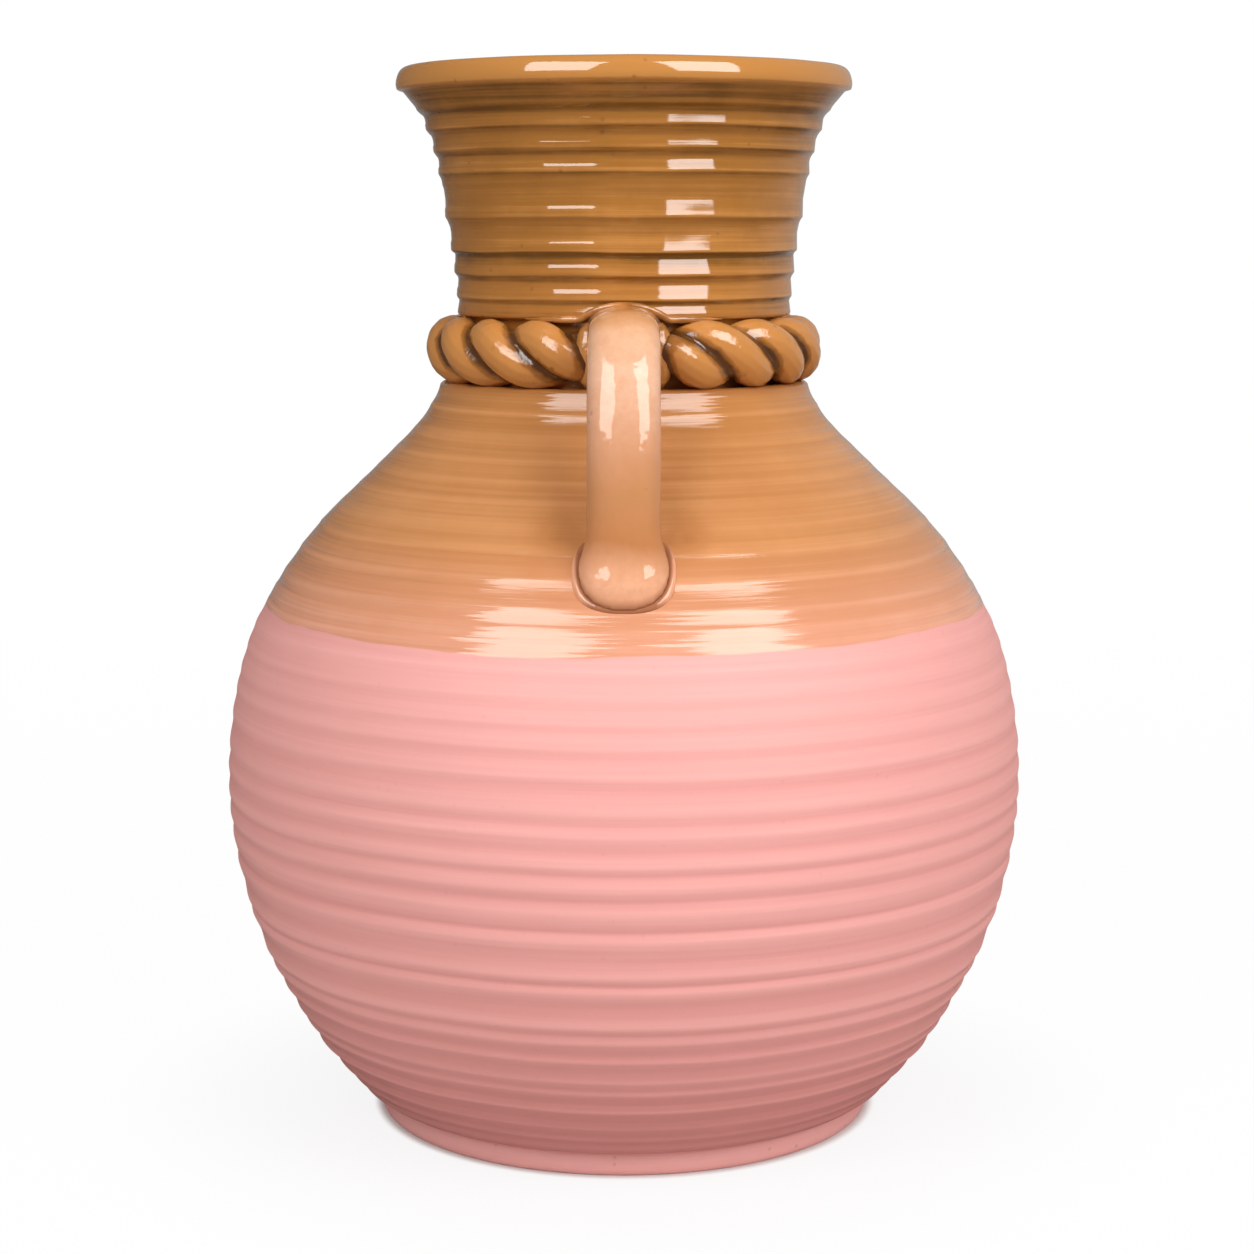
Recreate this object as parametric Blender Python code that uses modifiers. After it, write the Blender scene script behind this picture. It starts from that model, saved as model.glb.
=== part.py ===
"""A two-handled stoneware vase: a wide thrown body on a foot ring, a flared neck luted into its throat,
a two-strand rope of clay round that joint, and two solid handles from the throat down to the shoulder.

Metres, +Z up, the origin under the middle of the foot. One handle faces -Y and the other +Y.
"""

import math

import bmesh
import bpy
from mathutils import Vector
from mathutils.geometry import interpolate_bezier

OBJECT_NAME = "two_handled_vase"

# Clearances: between luted faces, between the rope and the ledges over and under it, between its strands
LUTE_GAP = 0.0003
ROPE_CLEARANCE = 0.0004
STRAND_GAP = 0.0006

# Foot ring
FOOT_RADIUS = 0.087
FOOT_HEIGHT = 0.0088
FOOT_WIDTH = 0.013
FOOT_DRAFT = 0.0022
FOOT_CHAMFER = 0.0010

# Body: three rises, from the base to the belly, on to the shoulder and up to the ledge under the rope
BODY_WALL = 0.007
BODY_FLOOR = 0.009
BASE_OVERHANG = 0.0055
BASE_UNDERCUT = 0.0024
BASE_SLOPE = 0.947
BELLY_RADIUS = 0.1375
BELLY_RISE = 0.108
SHOULDER_INSET = 0.0411
SHOULDER_RISE = 0.098
SHOULDER_SLOPE = -1.03
LEDGE_WIDTH = 0.0087
LEDGE_RISE = 0.039
LEDGE_SLOPE = -0.42

# Throwing rings round the body, up to its shoulder
RING_PITCH = 0.0086
RING_DEPTH = 0.0006

# Throat: the collar behind the rope, whose upper end stands in a rebate of the neck
THROAT_RADIUS = 0.054
LAP_HEIGHT = 0.008

# Rope: two strands laid round each other, whose axis stands off the throat
STRAND_RADIUS = 0.00535
ROPE_STANDOFF = 0.0032
ROPE_TWISTS = 9
RIGHT_LOBE_AZIMUTH = 37.0
LEFT_LOBE_AZIMUTH = -39.0
POINTS_PER_TWIST = 12

# Neck and rolled lip: the finger ledges are at shares of the neck's height
NECK_STEP = 0.003
NECK_HEIGHT = 0.0831
NECK_WALL = 0.0065
NECK_TAPER = 0.0085
LIP_FLARE = 0.0096
LIP_FLARE_POWER = 6
LIP_RADIUS = 0.0044
LIP_START_ANGLE = -55.0
LIP_END_ANGLE = 200.0
FINGER_LEDGE_DEPTH = 0.0008
FINGER_LEDGES = (0.08, 0.15, 0.26, 0.40, 0.56, 0.65, 0.735, 0.82)
FLARE_FACET_AT = 0.93

# Handles: oval in section, wider where they meet the pot, landing a little outside the shoulder's station
HANDLE_WIDTH = 0.023
HANDLE_THICKNESS = 0.017
HANDLE_LANDING = 0.0106
HANDLE_ABOVE_ROPE = 0.0071
HANDLE_BEND_SHARE = 0.51
HANDLE_LEVEL_PULL = 0.65
HANDLE_UPRIGHT_PULL = 0.61
HANDLE_LEAN = 0.13
HANDLE_ROOT_FLARE = 0.08
HANDLE_FOOT_FLARE = 0.28
HANDLE_FLARE_LENGTH = 0.024
SADDLE_FLANK = 0.0039
LUTING_RADIUS = 0.0022
LUTING_STANDOFF = 0.0008

# Facets
SEGMENTS = 48
WALL_STEPS = 8
SHOULDER_STEPS = 4
LIP_STEPS = 7
HANDLE_STEPS = 14
FOOT_STEPS = 4
SADDLE_STEPS = 6

# Heights and radii that follow from the sizes above
BASE_RADIUS = FOOT_RADIUS + BASE_OVERHANG
SHOULDER_RADIUS = BELLY_RADIUS - SHOULDER_INSET
LEDGE_RADIUS = THROAT_RADIUS + LEDGE_WIDTH
BASE_Z = FOOT_HEIGHT + LUTE_GAP
BELLY_Z = BASE_Z + BELLY_RISE
SHOULDER_Z = BELLY_Z + SHOULDER_RISE
LEDGE_Z = SHOULDER_Z + LEDGE_RISE
LAY_RADIUS = STRAND_RADIUS + STRAND_GAP / 2
ROPE_HALF = LAY_RADIUS + STRAND_RADIUS
ROPE_RADIUS = THROAT_RADIUS + ROPE_STANDOFF
ROPE_Z = LEDGE_Z + ROPE_CLEARANCE + ROPE_HALF
NECK_RADIUS = THROAT_RADIUS + NECK_STEP
NECK_Z = ROPE_Z + ROPE_HALF + ROPE_CLEARANCE
NECK_TOP_Z = NECK_Z + NECK_HEIGHT
SEAM_Z = ROPE_Z
LAP_RADIUS = THROAT_RADIUS - BODY_WALL / 2
HANDLE_ROOT_Z = ROPE_Z + HANDLE_ABOVE_ROPE
HANDLE_FOOT_RADIUS = SHOULDER_RADIUS + HANDLE_LANDING
SADDLE_HALF_WIDTH = HANDLE_WIDTH / 2 * (1 + HANDLE_ROOT_FLARE) + SADDLE_FLANK


def linear(start, end, share):
    return start + (end - start) * share


def hermite(start, end, start_slope, end_slope, span, share):
    """Value of a cubic at a share of its span, from its values and slopes at both ends."""
    square, cube = share**2, share**3
    return (
        start * (2 * cube - 3 * square + 1)
        + start_slope * span * (cube - 2 * square + share)
        + end * (3 * square - 2 * cube)
        + end_slope * span * (cube - square)
    )


def body_radius(z):
    """Outer radius of the body at a height, without its throwing rings."""
    if z <= BELLY_Z:
        share = (z - BASE_Z) / BELLY_RISE
        return hermite(BASE_RADIUS, BELLY_RADIUS, BASE_SLOPE, 0, BELLY_RISE, share)
    if z <= SHOULDER_Z:
        share = (z - BELLY_Z) / SHOULDER_RISE
        return hermite(BELLY_RADIUS, SHOULDER_RADIUS, 0, SHOULDER_SLOPE, SHOULDER_RISE, share)
    share = (z - SHOULDER_Z) / LEDGE_RISE
    return hermite(SHOULDER_RADIUS, LEDGE_RADIUS, SHOULDER_SLOPE, LEDGE_SLOPE, LEDGE_RISE, share)


def shoulder_height(radius):
    """Height at which the upper half of the body has this radius."""
    low, high = BELLY_Z, LEDGE_Z
    for _ in range(40):
        middle = (low + high) / 2
        if body_radius(middle) > radius:
            low = middle
        else:
            high = middle
    return (low + high) / 2


def neck_radius(z):
    """Outer radius of the neck at a height, without its finger ledges."""
    share = (z - NECK_Z) / (lip_start()[1] - NECK_Z)
    return NECK_RADIUS + NECK_TAPER * share + LIP_FLARE * share**LIP_FLARE_POWER


def lip_start():
    """Radius and height at which the neck's outer side runs into the lip's roll."""
    start_z = NECK_TOP_Z - LIP_RADIUS + LIP_RADIUS * math.sin(math.radians(LIP_START_ANGLE))
    return NECK_RADIUS + NECK_TAPER + LIP_FLARE, start_z


def spaced(start, end, steps):
    return [linear(start, end, step / steps) for step in range(steps + 1)]


def offset_outline(outline, distance):
    """An open outline moved to its left by a distance, with mitred corners."""
    sides = [(Vector(b) - Vector(a)).normalized() for a, b in zip(outline, outline[1:])]
    normals = [Vector((-side.y, side.x)) for side in sides]
    moved = []
    for index, point in enumerate(outline):
        before = normals[max(index - 1, 0)]
        after = normals[min(index, len(normals) - 1)]
        mitre = (before + after) / (1 + before.dot(after))
        moved.append(tuple(Vector(point) + mitre * distance))
    return moved


def body_outside():
    """The body's outer side from the ledge under the rope down to its base, with throwing rings."""
    rings = int((SHOULDER_Z - BASE_Z) / RING_PITCH)
    ringed = [(body_radius(z), z) for z in spaced(LEDGE_Z, SHOULDER_Z, SHOULDER_STEPS)]
    for ring in range(rings, 0, -1):
        crest = BASE_Z + ring * RING_PITCH
        groove = crest - RING_PITCH / 2
        ringed.append((body_radius(crest), crest))
        ringed.append((body_radius(groove) - RING_DEPTH, groove))
    ringed.append((BASE_RADIUS, BASE_Z + BASE_UNDERCUT))
    return ringed


def body_inside():
    """The body's inner side from the middle of the floor up to the collar's top."""
    smooth = [(body_radius(z), z) for z in spaced(BASE_Z, LEDGE_Z, WALL_STEPS)]
    inner = offset_outline(smooth, BODY_WALL)
    floor_z = BASE_Z + BODY_FLOOR
    collar_radius = THROAT_RADIUS - BODY_WALL
    wall = [(radius, z) for radius, z in inner if floor_z + BODY_WALL < z < LEDGE_Z - 1.5 * BODY_WALL]
    cove = [(BASE_RADIUS - 2 * BODY_WALL, floor_z), (BASE_RADIUS - BODY_WALL, floor_z + BODY_WALL / 2)]
    collar = [(collar_radius, LEDGE_Z - BODY_WALL / 2), (collar_radius, SEAM_Z + LAP_HEIGHT)]
    return [(0, floor_z)] + cove + wall + collar


def body_outline():
    collar = [(LAP_RADIUS, SEAM_Z + LAP_HEIGHT), (LAP_RADIUS, SEAM_Z), (THROAT_RADIUS, SEAM_Z)]
    base = [(BASE_RADIUS - BASE_UNDERCUT, BASE_Z), (0, BASE_Z)]
    return body_inside() + collar + [(THROAT_RADIUS, LEDGE_Z)] + body_outside() + base


def neck_outside():
    """The neck's outer side from the lip's start down to its base, stepped at each finger ledge."""
    start_radius, start_z = lip_start()
    flare_z = linear(NECK_Z, start_z, FLARE_FACET_AT)
    stepped = [(start_radius, start_z), (neck_radius(flare_z), flare_z)]
    for place in reversed(FINGER_LEDGES):
        z = linear(NECK_Z, start_z, place)
        stepped.append((neck_radius(z) + FINGER_LEDGE_DEPTH / 2, z + FINGER_LEDGE_DEPTH))
        stepped.append((neck_radius(z) - FINGER_LEDGE_DEPTH / 2, z - FINGER_LEDGE_DEPTH))
    return stepped + [(NECK_RADIUS, NECK_Z)]


def lip_outline():
    """The rolled lip from inside the mouth over the top to the neck's outer side."""
    start_radius, _ = lip_start()
    centre_radius = start_radius - LIP_RADIUS * math.cos(math.radians(LIP_START_ANGLE))
    centre_z = NECK_TOP_Z - LIP_RADIUS
    roll = []
    for angle in spaced(LIP_END_ANGLE, LIP_START_ANGLE, LIP_STEPS)[:-1]:
        turn = math.radians(angle)
        roll.append((centre_radius + LIP_RADIUS * math.cos(turn), centre_z + LIP_RADIUS * math.sin(turn)))
    return roll


def neck_outline():
    seat = [
        (THROAT_RADIUS, NECK_Z),
        (THROAT_RADIUS, SEAM_Z + LUTE_GAP),
        (LAP_RADIUS + LUTE_GAP, SEAM_Z + LUTE_GAP),
        (LAP_RADIUS + LUTE_GAP, SEAM_Z + LAP_HEIGHT + LUTE_GAP),
        (THROAT_RADIUS - BODY_WALL, SEAM_Z + LAP_HEIGHT + LUTE_GAP),
    ]
    low_z = SEAM_Z + LAP_HEIGHT + LUTE_GAP
    smooth = [(neck_radius(z), z) for z in spaced(NECK_Z, lip_start()[1], WALL_STEPS)]
    inner = offset_outline(smooth, NECK_WALL)
    wall = [(radius, z) for radius, z in inner if low_z + NECK_WALL / 2 < z < NECK_TOP_Z - 2 * LIP_RADIUS]
    return lip_outline() + neck_outside() + seat + wall


def foot_outline():
    inner = FOOT_RADIUS - FOOT_DRAFT - FOOT_WIDTH
    return [
        (FOOT_RADIUS, FOOT_HEIGHT),
        (FOOT_RADIUS, FOOT_HEIGHT / 2),
        (FOOT_RADIUS - FOOT_DRAFT + FOOT_CHAMFER, FOOT_CHAMFER),
        (FOOT_RADIUS - FOOT_DRAFT, 0),
        (inner, 0),
        (inner - FOOT_DRAFT, FOOT_HEIGHT),
    ]


def wall_cutter_outline():
    """The outer side of body, throat and neck, enlarged by the luting gap and closed to the axis."""
    neck = [point for point in neck_outside() if point[1] < NECK_Z + NECK_HEIGHT / 2]
    body = [point for point in body_outside() if point[1] > BELLY_Z]
    corners = [(THROAT_RADIUS, NECK_Z), (THROAT_RADIUS, LEDGE_Z)]
    face = offset_outline(neck + corners + body, LUTE_GAP)
    return [(0, face[0][1])] + face + [(0, face[-1][1])]


def handle_path():
    """Centre line of a handle from inside the throat wall to inside the shoulder, as (radius, height)."""
    bend_reach = (HANDLE_FOOT_RADIUS - THROAT_RADIUS) * HANDLE_BEND_SHARE
    bend = Vector((HANDLE_FOOT_RADIUS - bend_reach, HANDLE_ROOT_Z, 0))
    drop = Vector((HANDLE_FOOT_RADIUS, shoulder_height(HANDLE_FOOT_RADIUS) + HANDLE_THICKNESS / 2, 0))
    level_pull = Vector((HANDLE_LEVEL_PULL * bend_reach, 0, 0))
    upright_pull = Vector((-HANDLE_LEAN * bend_reach, HANDLE_UPRIGHT_PULL * (bend.y - drop.y), 0))
    arch = interpolate_bezier(bend, bend + level_pull, drop + upright_pull, drop, HANDLE_STEPS)
    root = [(THROAT_RADIUS - BODY_WALL / 2, HANDLE_ROOT_Z), (THROAT_RADIUS + BODY_WALL, HANDLE_ROOT_Z)]
    end_z = shoulder_height(HANDLE_FOOT_RADIUS + HANDLE_THICKNESS) - LUTING_RADIUS
    foot = [(HANDLE_FOOT_RADIUS, z) for z in spaced(drop.y, end_z, FOOT_STEPS)[1:]]
    return root + [(point.x, point.y) for point in arch] + foot


def handle_flare(radius, z):
    """How much wider than its middle a handle is at a point of its centre line."""
    above_foot = (z - shoulder_height(HANDLE_FOOT_RADIUS)) / HANDLE_FLARE_LENGTH + 0.5
    from_throat = (radius - THROAT_RADIUS) / HANDLE_FLARE_LENGTH
    foot_share = 1 - min(max(above_foot, 0), 1)
    root_share = 1 - min(max(from_throat, 0), 1)
    return 1 + HANDLE_FOOT_FLARE * foot_share**2 + HANDLE_ROOT_FLARE * root_share**2


def rope_path(start_azimuth, end_azimuth, lobe_azimuth, strand):
    """Centre line of one strand between two azimuths, in degrees from -Y towards +X."""
    twists = abs(end_azimuth - start_azimuth) / 360 * ROPE_TWISTS
    points = []
    for azimuth in spaced(start_azimuth, end_azimuth, round(twists * POINTS_PER_TWIST)):
        phase = math.pi * strand - math.radians(ROPE_TWISTS * (azimuth - lobe_azimuth))
        radius = ROPE_RADIUS + LAY_RADIUS * math.cos(phase)
        turn = math.radians(azimuth)
        z = ROPE_Z + LAY_RADIUS * math.sin(phase)
        points.append((radius * math.sin(turn), -radius * math.cos(turn), z))
    return points


def luting_path():
    """A loop on the shoulder round the foot of the front handle."""
    flare = handle_flare(HANDLE_FOOT_RADIUS, shoulder_height(HANDLE_FOOT_RADIUS))
    half_width = HANDLE_WIDTH / 2 * flare + LUTING_STANDOFF
    half_thickness = HANDLE_THICKNESS / 2 * flare + LUTING_STANDOFF
    points = []
    for turn in spaced(0, math.tau, SEGMENTS // 2)[:-1]:
        x = half_width * math.sin(turn)
        y = -HANDLE_FOOT_RADIUS - half_thickness * math.cos(turn)
        points.append((x, y, shoulder_height(math.hypot(x, y))))
    return points


def collection(name, parent):
    made = bpy.data.collections.new(name)
    parent.children.link(made)
    return made


def principled(name, colour, roughness):
    material = bpy.data.materials.new(name)
    material.use_nodes = True
    shader = material.node_tree.nodes["Principled BSDF"]
    shader.inputs["Base Color"].default_value = (*colour, 1)
    shader.inputs["Roughness"].default_value = roughness
    shader.inputs["Metallic"].default_value = 0
    return material


def dress(obj, material):
    obj.data.materials.append(material)
    if obj.data.polygons:
        obj.data.shade_smooth()
        obj.data.set_sharp_from_angle(angle=math.radians(35))


def turned(name, outline, closed, home):
    """A solid of revolution about Z, from an outline of (radius, height) that runs down its outer side."""
    mesh = bpy.data.meshes.new(name)
    edges = [(index, index + 1) for index in range(len(outline) - 1)]
    if closed:
        edges.append((len(outline) - 1, 0))
    mesh.from_pydata([(radius, 0, z) for radius, z in outline], edges, [])
    obj = bpy.data.objects.new(name, mesh)
    home.objects.link(obj)
    screw = obj.modifiers.new("Turn", "SCREW")
    screw.steps = SEGMENTS
    screw.render_steps = SEGMENTS
    screw.use_merge_vertices = True
    screw.merge_threshold = 0.00001
    return obj


def tube(name, points, radius, home, cyclic=False, sides=2, flares=None, stretch=1.0):
    """A closed tube along points, as a mesh: flares scale its radius point by point, stretch its X."""
    curve = bpy.data.curves.new(name, "CURVE")
    curve.dimensions = "3D"
    curve.bevel_depth = radius
    curve.bevel_resolution = sides
    curve.use_fill_caps = not cyclic
    spline = curve.splines.new("POLY")
    spline.points.add(len(points) - 1)
    for index, (x, y, z) in enumerate(points):
        spline.points[index].co = (x / stretch, y, z, 1)
        spline.points[index].radius = flares[index] if flares else 1
    spline.use_cyclic_u = cyclic
    guide = bpy.data.objects.new(name + "_guide", curve)
    guide.scale = (stretch, 1, 1)
    home.objects.link(guide)
    bpy.context.view_layer.update()
    evaluated = guide.evaluated_get(bpy.context.evaluated_depsgraph_get())
    mesh = bpy.data.meshes.new_from_object(evaluated)
    mesh.transform(guide.matrix_world)
    bpy.data.objects.remove(guide)
    shape = bmesh.new()
    shape.from_mesh(mesh)
    bmesh.ops.remove_doubles(shape, verts=shape.verts, dist=0.00001)
    bmesh.ops.recalc_face_normals(shape, faces=shape.faces)
    shape.to_mesh(mesh)
    shape.free()
    obj = bpy.data.objects.new(name, mesh)
    home.objects.link(obj)
    return obj


def box(name, size, location, home):
    bpy.ops.mesh.primitive_cube_add(size=1, location=location)
    obj = bpy.context.object
    obj.name = name
    obj.scale = size
    bpy.ops.object.transform_apply(location=False, rotation=False, scale=True)
    for owner in obj.users_collection:
        owner.objects.unlink(obj)
    home.objects.link(obj)
    return obj


def hide_as_cutter(obj):
    obj.hide_render = True
    obj.display_type = "WIRE"


def combine(obj, other, operation):
    boolean = obj.modifiers.new(f"{operation.title()} {other.name}", "BOOLEAN")
    boolean.operation = operation
    boolean.object = other
    boolean.solver = "EXACT"


def on_side(points, facing):
    """Points round the front handle, or turned half round the axis to the back one."""
    return [(-x * facing, -y * facing, z) for x, y, z in points]


def slot_azimuth():
    """Angle from a handle's middle to the side of its saddle, in degrees."""
    return math.degrees(math.asin(SADDLE_HALF_WIDTH / ROPE_RADIUS))


def make_materials():
    return {
        "clay": principled("pink_clay", (0.72, 0.33, 0.28), 0.62),
        "foot": principled("foot_clay", (0.78, 0.40, 0.34), 0.55),
        "neck": principled("amber_glaze", (0.36, 0.15, 0.03), 0.14),
        "rope": principled("rope_glaze", (0.33, 0.13, 0.025), 0.14),
        "handle": principled("peach_glaze", (0.72, 0.36, 0.20), 0.16),
        "luting": principled("luting_glaze", (0.58, 0.26, 0.11), 0.16),
    }


def make_pot(materials, home):
    """The three turned pieces."""
    dress(turned("body", body_outline(), False, home), materials["clay"])
    dress(turned("neck", neck_outline(), True, home), materials["neck"])
    dress(turned("foot_ring", foot_outline(), True, home), materials["foot"])


def make_wall_cutter(home):
    """The pot's outer face, which every added piece is cut to."""
    wall = turned("wall_cutter", wall_cutter_outline(), False, home)
    hide_as_cutter(wall)
    return wall


def make_slot_cutter(home):
    """The room for both saddles, which the rope's ends are cut to."""
    size = (2 * (SADDLE_HALF_WIDTH + LUTE_GAP), 4 * ROPE_RADIUS, 4 * ROPE_HALF)
    slot = box("slot_cutter", size, (0, 0, ROPE_Z), home)
    hide_as_cutter(slot)
    return slot


def make_rope(wall, slot, material, home):
    """Both halves of the rope, each of two strands that start and end inside the slot."""
    start = slot_azimuth() * 0.6
    halves = (("right", 1, RIGHT_LOBE_AZIMUTH), ("left", -1, LEFT_LOBE_AZIMUTH))
    for half, turn, lobe_azimuth in halves:
        for strand, letter in enumerate("ab"):
            points = rope_path(turn * start, turn * (180 - start), lobe_azimuth, strand)
            laid = tube(f"rope_{half}_strand_{letter}", points, STRAND_RADIUS, home)
            combine(laid, wall, "DIFFERENCE")
            combine(laid, slot, "DIFFERENCE")
            dress(laid, material)


def oval_bar(name, facing, extra, home):
    """The whole handle before it is cut to the pot, thicker all round by extra."""
    path = handle_path()
    flares = [handle_flare(radius, z) for radius, z in path]
    points = [(0, facing * radius, z) for radius, z in path]
    stretch = HANDLE_WIDTH / HANDLE_THICKNESS
    radius = HANDLE_THICKNESS / 2 + extra
    return tube(name, points, radius, home, sides=5, flares=flares, stretch=stretch)


def make_handle(side, facing, wall, material, home):
    handle = oval_bar(f"handle_{side}", facing, 0, home)
    combine(handle, wall, "DIFFERENCE")
    dress(handle, material)


def make_saddle(side, facing, wall, room, material, homes):
    """The pad of smoothed clay under and beside a handle's root, between the ends of the rope."""
    reach = slot_azimuth() * 1.6
    turns = [math.radians(azimuth) for azimuth in spaced(-reach, reach, SADDLE_STEPS)]
    arc = [(ROPE_RADIUS * math.sin(turn), -ROPE_RADIUS * math.cos(turn), ROPE_Z) for turn in turns]
    arc = on_side(arc, facing)
    saddle = tube(f"handle_{side}_saddle", arc, ROPE_HALF, homes["parts"], sides=4)
    size = (2 * SADDLE_HALF_WIDTH, 2 * ROPE_RADIUS, 4 * ROPE_HALF)
    ends = box(f"saddle_{side}_ends", size, (0, facing * ROPE_RADIUS, ROPE_Z), homes["cutters"])
    hide_as_cutter(ends)
    combine(saddle, ends, "INTERSECT")
    combine(saddle, wall, "DIFFERENCE")
    combine(saddle, room, "DIFFERENCE")
    dress(saddle, material)


def make_luting(side, facing, wall, room, material, home):
    """The thin ridge of clay that seals a handle's foot to the shoulder."""
    loop = on_side(luting_path(), facing)
    ridge = tube(f"handle_{side}_luting", loop, LUTING_RADIUS, home, cyclic=True)
    combine(ridge, wall, "DIFFERENCE")
    combine(ridge, room, "DIFFERENCE")
    dress(ridge, material)


def least_strand_gap():
    """The least distance between the two strands' surfaces, measured on the points of their centre lines."""
    first = [Vector(point) for point in rope_path(0, 180, RIGHT_LOBE_AZIMUTH, 0)]
    second = [Vector(point) for point in rope_path(0, 180, RIGHT_LOBE_AZIMUTH, 1)]
    return min((a - b).length for a in first for b in second) - 2 * STRAND_RADIUS


def clear_scene():
    for obj in list(bpy.data.objects):
        bpy.data.objects.remove(obj, do_unlink=True)


def build():
    clear_scene()
    parts = collection(OBJECT_NAME, bpy.context.scene.collection)
    cutters = collection("cutters", bpy.context.scene.collection)
    materials = make_materials()

    make_pot(materials, parts)
    wall = make_wall_cutter(cutters)
    make_rope(wall, make_slot_cutter(cutters), materials["rope"], parts)

    for side, facing in (("front", -1), ("back", 1)):
        make_handle(side, facing, wall, materials["handle"], parts)
        room = oval_bar(f"handle_{side}_room", facing, LUTE_GAP, cutters)
        hide_as_cutter(room)
        make_saddle(side, facing, wall, room, materials["rope"], {"parts": parts, "cutters": cutters})
        make_luting(side, facing, wall, room, materials["luting"], parts)

    print(f"least gap between strands: {least_strand_gap() * 1000:.2f} mm")


build()
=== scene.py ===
import math

import bpy
import numpy as np
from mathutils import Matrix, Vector


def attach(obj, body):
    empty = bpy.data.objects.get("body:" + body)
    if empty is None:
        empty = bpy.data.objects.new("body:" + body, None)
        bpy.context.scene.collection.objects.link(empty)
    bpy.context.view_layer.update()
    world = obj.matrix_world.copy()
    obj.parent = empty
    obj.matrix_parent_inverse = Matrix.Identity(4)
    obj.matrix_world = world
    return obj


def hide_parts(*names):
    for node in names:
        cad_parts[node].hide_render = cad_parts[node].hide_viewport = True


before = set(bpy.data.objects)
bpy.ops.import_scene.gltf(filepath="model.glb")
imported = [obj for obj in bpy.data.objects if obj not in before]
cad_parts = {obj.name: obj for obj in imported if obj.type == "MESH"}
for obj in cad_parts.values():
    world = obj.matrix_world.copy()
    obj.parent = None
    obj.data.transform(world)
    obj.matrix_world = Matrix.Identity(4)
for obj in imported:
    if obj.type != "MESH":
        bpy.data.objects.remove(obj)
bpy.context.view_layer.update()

MM = 0.001


# ---------------------------------------
# Body. One wheel-thrown jar of pink stoneware, from the step over its foot to
# the ledge under the rope. The potter's finger rings are left on it. It is
# bare up to mid shoulder, and glazed above that line and all over inside.

# Height and outer radius in mm, read every 10 mm up the wall
BODY_GAUGE = (
    (9.1, 91.6), (12, 94.0), (20, 101.1), (30, 109.0), (40, 115.2), (50, 120.8), (60, 125.6),
    (70, 129.4), (80, 132.3), (90, 134.6), (100, 136.2), (110, 137.2), (120, 137.5),
    (130, 137.0), (140, 135.9), (150, 134.1), (160, 131.6), (170, 128.2), (180, 123.3),
    (190, 117.4), (200, 110.2), (210, 101.4), (220, 91.1), (230, 80.8), (240, 71.0),
    (246, 66.7), (250, 64.5), (254.1, 62.8),
)
# Each finger ring: height of its crest, height of the groove above it, the groove's
# depth in mm, and how sharp crest and groove are, from 0 for round to 1
BODY_RINGS = (
    (11.8, 13.8, 0.8, 0.6, 0.6), (16.0, 17.8, 0.9, 0.8, 0.5), (21.4, 24.3, 1.45, 1, 0.7),
    (28.9, 32.0, 1.4, 1, 0.6), (36.2, 38.0, 0.7, 0.8, 0.4), (40.8, 45.4, 0.85, 0.9, 0.1),
    (49.0, 51.4, 0.95, 1, 0.4), (55.9, 59.0, 0.75, 0.7, 0.5), (61.4, 68.4, 0.8, 0.6, 0),
    (73.8, 76.5, 0.85, 0.4, 1), (79.0, 84.8, 0.65, 0.3, 0.1), (91.0, 94.2, 0.8, 0.2, 0.8),
    (100.0, 104.3, 0.68, 0.2, 0.4), (107.8, 112.5, 0.62, 0.1, 0.6), (115.3, 120.0, 0.54, 0.1, 0.3),
    (124.2, 128.2, 0.5, 0.3, 0.2), (131.8, 138.8, 0.46, 0, 0), (142.1, 147.4, 0.36, 0.1, 0.1),
    (151.0, 154.8, 0.26, 0, 0), (157.9, 162.8, 0.26, 0, 0), (165.6, 169.8, 0.24, 0, 0),
    (173.0, 176.8, 0.26, 0.2, 0), (180.4, 181.3, 0.14, 1, 0), (185.2, 186.7, 0.28, 1, 0),
    (190.6, 195.4, 0.4, 1, 0), (198.8, 204.6, 0.32, 1, 0), (206.8, 210.4, 0.16, 1, 0),
    (214.0, 217.6, 0.12, 1, 0), (220.4, 223.4, 0.2, 1, 0), (226.2, 229.2, 0.12, 1, 0),
    (232.6, 235.2, 0.16, 1, 0), (238.8, 243.0, 0.3, 1, 0), (246.6, 249.6, 0.28, 1, 0),
)
BODY_TURNS = 192
WALL = 7.0
FLOOR_TOP = 18.1
INSIDE_RING_DEPTH = 0.35
INSIDE_RING_PITCH = 11
COLLAR_RADIUS = 50.4
GLAZE_LINE = 178.6
BRIM_FULL_GROOVE = 0.6
# Painted shadow, partly pooled glaze: a dark line under the rope from this height, and a spot beside each
# handle's foot at this place and spread.
ROPE_SHADE_Z = 251.6
SHADOW_POOL_PLACE = (20, 212)
SHADOW_POOL_SPREAD = (6, 5)

# Bare clay: painted shade in the rings' grooves and a painted highlight on their crests
CLAY_SHADED_IN_GROOVES = (0.82, 0.342, 0.31, 1)
CLAY_LIT_ON_CRESTS = (0.95, 0.465, 0.424, 1)
CLAY_MOTTLE = (0.91, 0.50, 0.455, 1)
# Painted shade on the belly's underside near the foot
CLAY_SHADED_NEAR_FOOT = (0.57, 0.195, 0.175, 1)
GROG = (0.45, 0.15, 0.12, 1)
SHOULDER_THIN = ((0.0, (0.86, 0.41, 0.28, 1)), (0.42, (0.69, 0.31, 0.12, 1)), (1.0, (0.69, 0.31, 0.11, 1)))
SHOULDER_FULL = ((0.0, (0.77, 0.335, 0.20, 1)), (0.42, (0.57, 0.235, 0.08, 1)), (1.0, (0.54, 0.22, 0.062, 1)))
SHOULDER_POOLED_AND_SHADED = (0.40, 0.15, 0.045, 1)


def deselect():
    """Nothing stays selected before the next piece is begun."""
    bpy.ops.object.select_all(action="DESELECT")


def open_all():
    """Opens the piece for editing, with the whole of it selected."""
    bpy.ops.object.mode_set(mode="EDIT")
    bpy.ops.mesh.select_all(action="SELECT")


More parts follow.
